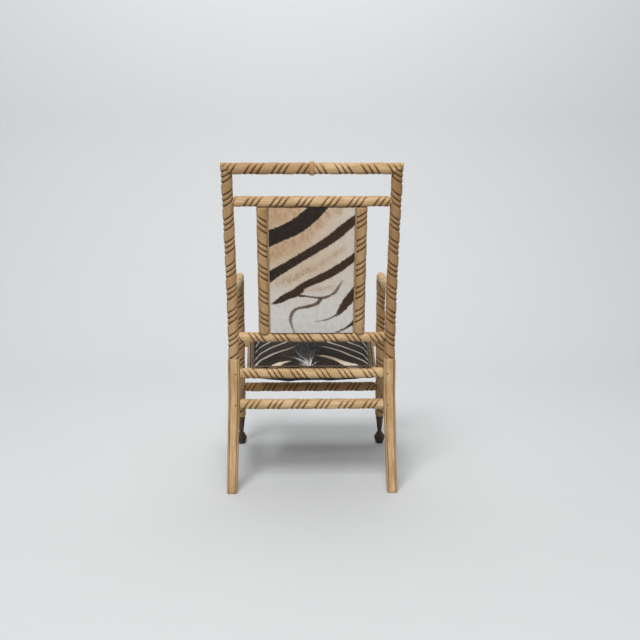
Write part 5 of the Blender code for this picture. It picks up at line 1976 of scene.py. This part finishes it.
@dataclass
class Seat:
    """Webbing, padded hide, gimp and nails, and the black cloth below."""

    hide: float = 0.0016
    crown: float = 0.022
    fullness: float = 0.45
    edge_lift: float = 0.003
    rim_lift: float = 0.0002
    rim_share: float = 1.08
    pucker: float = 0.0006
    puckers: int = 70
    free: Ease = Ease(0.020, 0.05)
    swell_cap: float = 0.005
    soft_gap: float = 0.0005
    columns: int = 85
    rows: int = 91
    hair_fan: float = 55.0
    fan_half: float = 0.12
    warm_rear: Ease = Ease(0.35, -0.3)
    warm_middle: Ease = Ease(0.17, -0.12)
    brown: Ease = Ease(-0.02, 0.03)
    web_thickness: float = 0.0015
    web_width: float = 0.050
    web_columns: tuple[float, ...] = (-0.5, -0.49, -0.25, 0.0, 0.25, 0.49, 0.5)
    web_rows: int = 33
    web_sag: float = 0.028
    web_straps: int = 4
    web_spread: float = 0.9
    web_turn_up: Ease = Ease(1.0, -0.08)
    layer_gap: float = 0.0012
    web_clearance: float = 0.0025
    under_share: float = math.cos(math.pi / 7)
    dust_slack: float = 0.020
    dust_thickness: float = 0.0010
    dust_lobe: float = 0.70
    dust_lean: float = 0.40
    dust_drop: Ease = Ease(0.0, 0.08)
    dust_hem: float = 0.02
    crease: float = 0.0012
    crease_across: tuple[float, float] = (95.0, 9.0)
    crease_along: tuple[float, float] = (31.0, 4.0)
    creased: Ease = Ease(0.0, 0.4)
    gimp_inset: float = 0.0028
    gimp_half: float = 0.0034
    gimp_rise: float = 0.0022
    gimp_step: float = 0.0016
    gimp_loop: float = 0.0052
    gimp_flat: float = 0.80
    gimp_bulge: float = 0.30
    gimp_under: float = 0.6
    gimp_side: float = -0.2
    gimp_columns: int = 16
    nail_radius: float = 0.0031
    nail_height: float = 0.6
    nail_lean: float = 18.0
    nail_pitch: float = 0.0083
    nail_columns: int = 8
    nail_radii: tuple[float, ...] = (0.9, 1.0, 0.8, 0.42, 0.0)
    nail_lifts: tuple[float, ...] = (-0.25, 0.0, 0.55, 0.9, 1.0)

    @property
    def inset(self) -> float:
        """Distance from a rail's centre line to the stuffing between the rails."""
        return PLAN.seat_rail_dia / 2 + self.soft_gap

    def rail_under(self, y: Array) -> Array:
        """Height of the lowest carved facets of the seat rails."""
        return PLAN.seat_rail_height(y) - self.under_share * PLAN.seat_rail_dia / 2

    def sag_share(self, x: Array, y: Array) -> Array:
        """Share of the sag: 1 at the seat's middle and 0 over the rails."""
        return dome(x / PLAN.seat_half(y), (y - PLAN.rear_y) / PLAN.seat_depth * 2 - 1)

    def web_top(self, x: Array, y: Array) -> Array:
        """Height of the upper face of the webbing."""
        return self.rail_under(y) - FIT - self.web_sag * self.sag_share(x, y)

    def plan_grid(self) -> tuple[Array, Array, Array, Array]:
        """Plan of the seat: outer lines on the rails' centre lines, and the rest over the stuffing.

        Returns:
            Places across and along, and the same places as shares of the stuffing, past 1 on the rails.
        """
        rows, columns = crowded(self.rows), crowded(self.columns)
        inner = PLAN.middle_y + (PLAN.seat_depth / 2 - self.inset) * rows
        y_line = np.concatenate(([PLAN.rear_y], inner, [PLAN.front_y]))
        side = PLAN.seat_half(y_line)[:, None]
        x = np.concatenate((-side, columns * (side - self.inset), side), axis=1)
        y = np.broadcast_to(y_line[:, None], x.shape)
        shares = (np.concatenate(([-self.rim_share], part, [self.rim_share])) for part in (columns, rows))
        return x, y, *np.meshgrid(*shares)

    def pad(self) -> Array:
        """Padded seat under its hide: crowned above the rails, and hanging between them to the webbing.

        The hide's height over the rails is an edge lift plus crown ((1 - across^2)(1 - along^2))^fullness, with
        small puckers round its edge.

        Returns:
            Points of the finished hide above the rails.
        """
        x, y, across, along = self.plan_grid()
        rim = PLAN.seat_rail_top(y) + FIT
        inner = (np.abs(across) <= 1) & (np.abs(along) <= 1)
        crown = dome(across, along) ** self.fullness
        pucker = self.pucker * np.sin(self.puckers * np.arctan2(along, across)) * (1 - crown)
        hide = rim + self.edge_lift + self.crown * crown + self.hide + pucker
        top = np.where(inner, hide, rim + self.rim_lift)
        floor = np.where(inner, self.web_top(x, y) + self.web_clearance, rim + self.rim_lift)
        sides = [np.stack((x, y, z), axis=-1) for z in (top, floor)]
        mesh = pillow_grid(*sides).mesh("seat_pad", NO_CREASE)
        piece = show("seat_pad", mesh, SEAT_HIDE, "seat_hide", "seat_stuffing")
        x, y, z = mesh_points(mesh).T
        edge = np.minimum(PLAN.seat_half(y) - np.abs(x), np.minimum(y - PLAN.rear_y, PLAN.front_y - y))
        above = z > PLAN.seat_rail_top(y) + self.edge_lift
        SWELLING.apply(piece, self.free.at(edge) * above, self.swell_cap)
        finer(piece)
        self.colour(piece.data)
        points = mesh_points(piece.data)
        return points[points[:, 2] > PLAN.seat_rail_top(points[:, 1])]

    def colour(self, mesh: Mesh) -> None:
        """Store the hide's stripes and tints on the finished pad, with its hair fanning out from the middle."""
        x, y, _ = mesh_points(mesh).T
        across, along = x + HIDE_MIDDLE, y - PLAN.rear_y
        fan = math.radians(self.hair_fan) * np.clip(x / self.fan_half, -1, 1)
        brown = deepest(SEAT_BROWNS, across, along)["dark_depth"]
        none = np.zeros_like(along)
        set_values(mesh, {"hide_place": turned_hair(across, along, -fan),
                          "dark_depth": -deepest(SEAT_STRIPES, across, along)["dark_depth"],
                          "faded": none, "tan": none, "brown": self.brown.at(brown),
                          "warmth": self.warm_rear.at(along) * self.warm_middle.at(np.abs(x))})

    def edge_line(self, inset: float, pitch: float) -> tuple[Array, Array]:
        """Points along the edge of the hide at an even pitch, with the direction out of the seat at each.

        Args:
            inset: Distance from the rails' centre lines.
            pitch: Spacing of the points.

        Returns:
            Points on the rails' upper sides, and unit directions.
        """
        rear, front = PLAN.rear_y + inset, PLAN.front_y - inset
        corners = np.array([(side * (PLAN.seat_half(y) - inset), y) for side, y in
                            ((-1, rear), (1, rear), (1, front), (-1, front), (-1, rear))])
        steps = np.diff(corners, axis=0)
        ends = np.concatenate(([0.0], np.cumsum(np.linalg.norm(steps, axis=1))))
        count = round(ends[-1] / pitch)
        place = (np.arange(count) + 0.5) * ends[-1] / count
        x, y = (np.interp(place, ends, part) for part in corners.T)
        run = unit(steps)[np.clip(np.searchsorted(ends, place) - 1, 0, 3)]
        points = np.stack((x, y, PLAN.seat_rail_top(y) + self.hide + 2 * FIT), axis=1)
        return points, np.stack((run[:, 1], -run[:, 0], np.zeros(count)), axis=1)

    def gimp(self) -> None:
        """Braid round the edge of the hide: a flat oval section whose upper side bulges in two rows of loops.

        The section is scaled by a flat share plus a bulge of |sin(place / loop half turn +- angle)|, with the
        sign changing between its two halves. Its underside is cut off level.
        """
        centre, out = self.edge_line(self.gimp_inset, self.gimp_step)
        angle = np.linspace(0.0, TURN, self.gimp_columns + 1)[None, :]
        place = np.arange(len(centre) + 1)[:, None] * self.gimp_step
        twist = place[:-1] / self.gimp_loop * math.pi + np.where(np.cos(angle) > 0, 1, -1) * angle
        scale = self.gimp_flat + self.gimp_bulge * np.abs(np.sin(twist)) * (np.sin(angle) > self.gimp_side)
        reach = self.gimp_half * np.cos(angle) * scale
        rise = self.gimp_rise * (np.maximum(np.sin(angle), -self.gimp_under) * scale + self.gimp_under)
        points = centre[:, None] + reach[..., None] * out[:, None] + rise[..., None] * UP
        cloth = np.stack(np.broadcast_arrays(angle * self.gimp_half, place, 0.0 * angle), axis=-1)
        data = closed_grid(np.concatenate((points, points[:1])), {"cloth_place": cloth})
        show("seat_gimp_braid", data.mesh("seat_gimp_braid", sharp=70.0), GIMP_BRAID, "seat_gimp")

    def nails(self) -> None:
        """Domed nails beside the gimp: each dome is a few rings about an axis that leans out of the seat."""
        centre, out = self.edge_line(0.0, self.nail_pitch)
        lean = math.radians(self.nail_lean)
        axis = math.cos(lean) * UP + math.sin(lean) * out
        across = math.cos(lean) * out - math.sin(lean) * UP
        rail = PLAN.seat_rail_dia / 2
        centre = centre - UP * (rail + 2 * FIT + self.hide) + axis * (rail + FIT)
        angle = np.linspace(0.0, TURN, self.nail_columns + 1)[None, :]
        radius = self.nail_radius * np.array(self.nail_radii)[:, None]
        lift = self.nail_height * self.nail_radius * np.array(self.nail_lifts)[:, None]
        parts = ((radius * np.cos(angle), across), (radius * np.sin(angle), np.cross(axis, across)),
                 (lift + 0.0 * angle, axis))
        points = centre[:, None, None] + sum(size[None, :, :, None] * way[:, None, None] for size, way in parts)
        show("seat_nails", MeshData(*many_grids(points)).welded().mesh("seat_nails"), NAIL_METAL)

    def strap(self, node: str, x: Array, y: Array, drop: float | Array) -> None:
        """One strap of webbing, as thick cloth.

        Args:
            node: Solid that the strap stands for.
            x: Plan places across, in rows and columns.
            y: Plan places along.
            drop: Distance below the upper layer.
        """
        mesh = thick_cloth(x, y, self.web_top(x, y) - drop, self.web_thickness).mesh(node)
        show(f"woven_{node}", mesh, WEBBING, node)

    def webbing(self) -> None:
        """Straps from front to rear over a second layer from side to side, which turns up at its ends."""
        run = np.linspace(-1, 1, self.web_rows)
        edges = np.array(self.web_columns) * self.web_width
        half = PLAN.seat_depth / 2
        for number in range(self.web_straps):
            share = ((2 * number + 1) / self.web_straps - 1) * self.web_spread
            x, y = np.meshgrid(edges + share * PLAN.seat_side_rear_x, PLAN.middle_y + run * half)
            self.strap(f"web_strap_long_{number + 1}", x, y, 0.0)
            y, across = np.meshgrid(edges + PLAN.middle_y + share * half, run, indexing="ij")
            x = across * PLAN.seat_half(y)
            drop = (self.web_thickness + self.layer_gap) * self.web_turn_up.at(np.abs(across))
            self.strap(f"web_strap_cross_{number + 1}", x, y, drop)

    def dust_cover(self) -> None:
        """Black cloth tacked below the rails, which sags with the webbing and hangs in two creased lobes."""
        x, y, _, _ = self.plan_grid()
        x, y = x[::2, ::2], y[::2, ::2]
        across = x / PLAN.seat_half(y)
        lobes = (1 - self.dust_lobe * np.cos(math.pi * across) ** 2) * (1 - self.dust_lean * across)
        share = self.sag_share(x, y)
        under = 2 * self.layer_gap + self.web_thickness
        drop = 2 * FIT + self.web_thickness + under * self.dust_drop.at(share)
        waves = np.sin(x * self.crease_across[0] + y * self.crease_across[1])
        waves = waves * np.sin(y * self.crease_along[0] + self.crease_along[1])
        crease = self.crease * waves * self.creased.at(share)
        top = self.rail_under(y) - drop - (self.web_sag + self.dust_slack * lobes) * share + crease
        mesh = thick_cloth(x, y, top, self.dust_thickness).mesh("dust_cover", NO_CREASE)
        piece = show("dust_cover", mesh, DUST_CLOTH, "seat_dust_cover")

    def build(self) -> None:
        """Make the seat from its webbing up to its trim."""
        self.webbing()
        Mane().build(self.pad())
        self.gimp()
        self.nails()
        self.dust_cover()


@dataclass(frozen=True)
class Lamp:
    """Square soft lamp, with its sides in metres and its power in watts, which faces a point."""

    name: str
    place: Triple
    size: float
    power: float
    aim: Triple

    def build(self) -> None:
        """Hang the lamp and turn it towards its point."""
        data = bpy.data.lights.new(self.name, "AREA")
        data.size = self.size
        data.energy = self.power
        lamp = placed(self.name, data)
        lamp.location = self.place
        x, y, z = np.subtract(self.aim, self.place)
        lamp.rotation_euler = (math.atan2(math.hypot(x, y), -z), 0.0, math.atan2(-x, y))


@dataclass
class Studio:
    """Camera at the picture's angle, a pale floor that curves up into a wall, and soft lamps."""

    camera_place: Triple = (-0.0322, -3.3523, 1.1025)
    yaw: float = 1.037
    pitch: float = 10.119
    sensor: float = 36.0
    focal_share: float = 1050.0 / 640.0
    floor_half: float = 7.0
    floor_near: float = -7.0
    wall_y: float = 2.6
    curve: float = 1.2
    curve_rows: int = 24
    wall_top: float = 5.0
    world_tone: Triple = (0.90, 0.93, 0.96)
    world_light: float = 0.17
    world_look: float = 0.74
    lamps: tuple[Lamp, ...] = (
        Lamp("key_lamp", (-0.9, -4.2, 6.0), 3.0, 412.0, (0.0, 0.0, 0.5)),
        Lamp("fill_lamp", (1.2, -3.4, 1.0), 1.6, 11.0, (0.0, 0.0, 0.25)),
        Lamp("wall_lamp", (0.0, 0.9, 3.6), 2.4, 40.0, (0.0, 2.6, 1.0)),
    )

    def camera(self) -> None:
        """Aim the camera: turned by the yaw towards +X and tipped down by the pitch."""
        data = bpy.data.cameras.new("picture_camera")
        data.lens = self.focal_share * self.sensor
        data.sensor_width = self.sensor
        camera = placed("picture_camera", data)
        camera.location = self.camera_place
        camera.rotation_euler = (QUARTER - math.radians(self.pitch), 0.0, math.radians(-self.yaw))
        bpy.context.scene.camera = camera

    def backdrop(self) -> None:
        """Floor and wall in one sweep: two lines and a quarter circle, carried from side to side."""
        turn = np.linspace(0.0, QUARTER, self.curve_rows)
        depth = self.wall_y - self.curve + self.curve * np.sin(turn)
        bend = np.stack((depth, self.curve * (1 - np.cos(turn))), axis=1)
        profile = np.concatenate((((self.floor_near, 0.0),), bend, ((self.wall_y, self.wall_top),)))
        points = np.empty((len(profile), 2, 3))
        points[..., 0] = (-self.floor_half, self.floor_half)
        points[..., 1:] = profile[:, None]
        mesh = MeshData(points.reshape(-1, 3), grid_quads(len(profile), 2)).mesh("studio_floor")
        mesh.materials.append(STUDIO.material())
        floor = placed("studio_floor", mesh)

    def world(self) -> None:
        """Even dim light from all round, which looks as pale as the wall where it is seen or mirrored."""
        world = bpy.data.worlds.new("studio_world")
        world.use_nodes = True
        sheet = NodeSheet(world.node_tree)
        shade = world.node_tree.nodes["Background"]
        shade.inputs["Color"].default_value = rgba(self.world_tone)
        rays = sheet.add("ShaderNodeLightPath").outputs
        seen = sheet.plus(sheet.plus(rays["Is Camera Ray"], rays["Is Glossy Ray"]), rays["Is Transmission Ray"])
        sheet.feed(shade, Strength=sheet.spread(seen, 0.0, 1.0, self.world_light, self.world_look))
        bpy.context.scene.world = world

    def build(self) -> None:
        """Set up the view, the stage and the light."""
        bpy.context.scene.view_settings.view_transform = "Standard"
        self.camera()
        self.backdrop()
        self.world()
        for lamp in self.lamps:
            lamp.build()


def main() -> None:
    """Build the studio and the chair in order."""
    logging.basicConfig(level=logging.INFO, format="%(message)s")
    Studio().build()
    for assembly in (RearPosts(), BackFrame(), FrontFrame(), BackPanel(), Seat()):
        LOG.info("building %s", type(assembly).__name__)
        assembly.build()


if __name__ == "__main__":
    main()
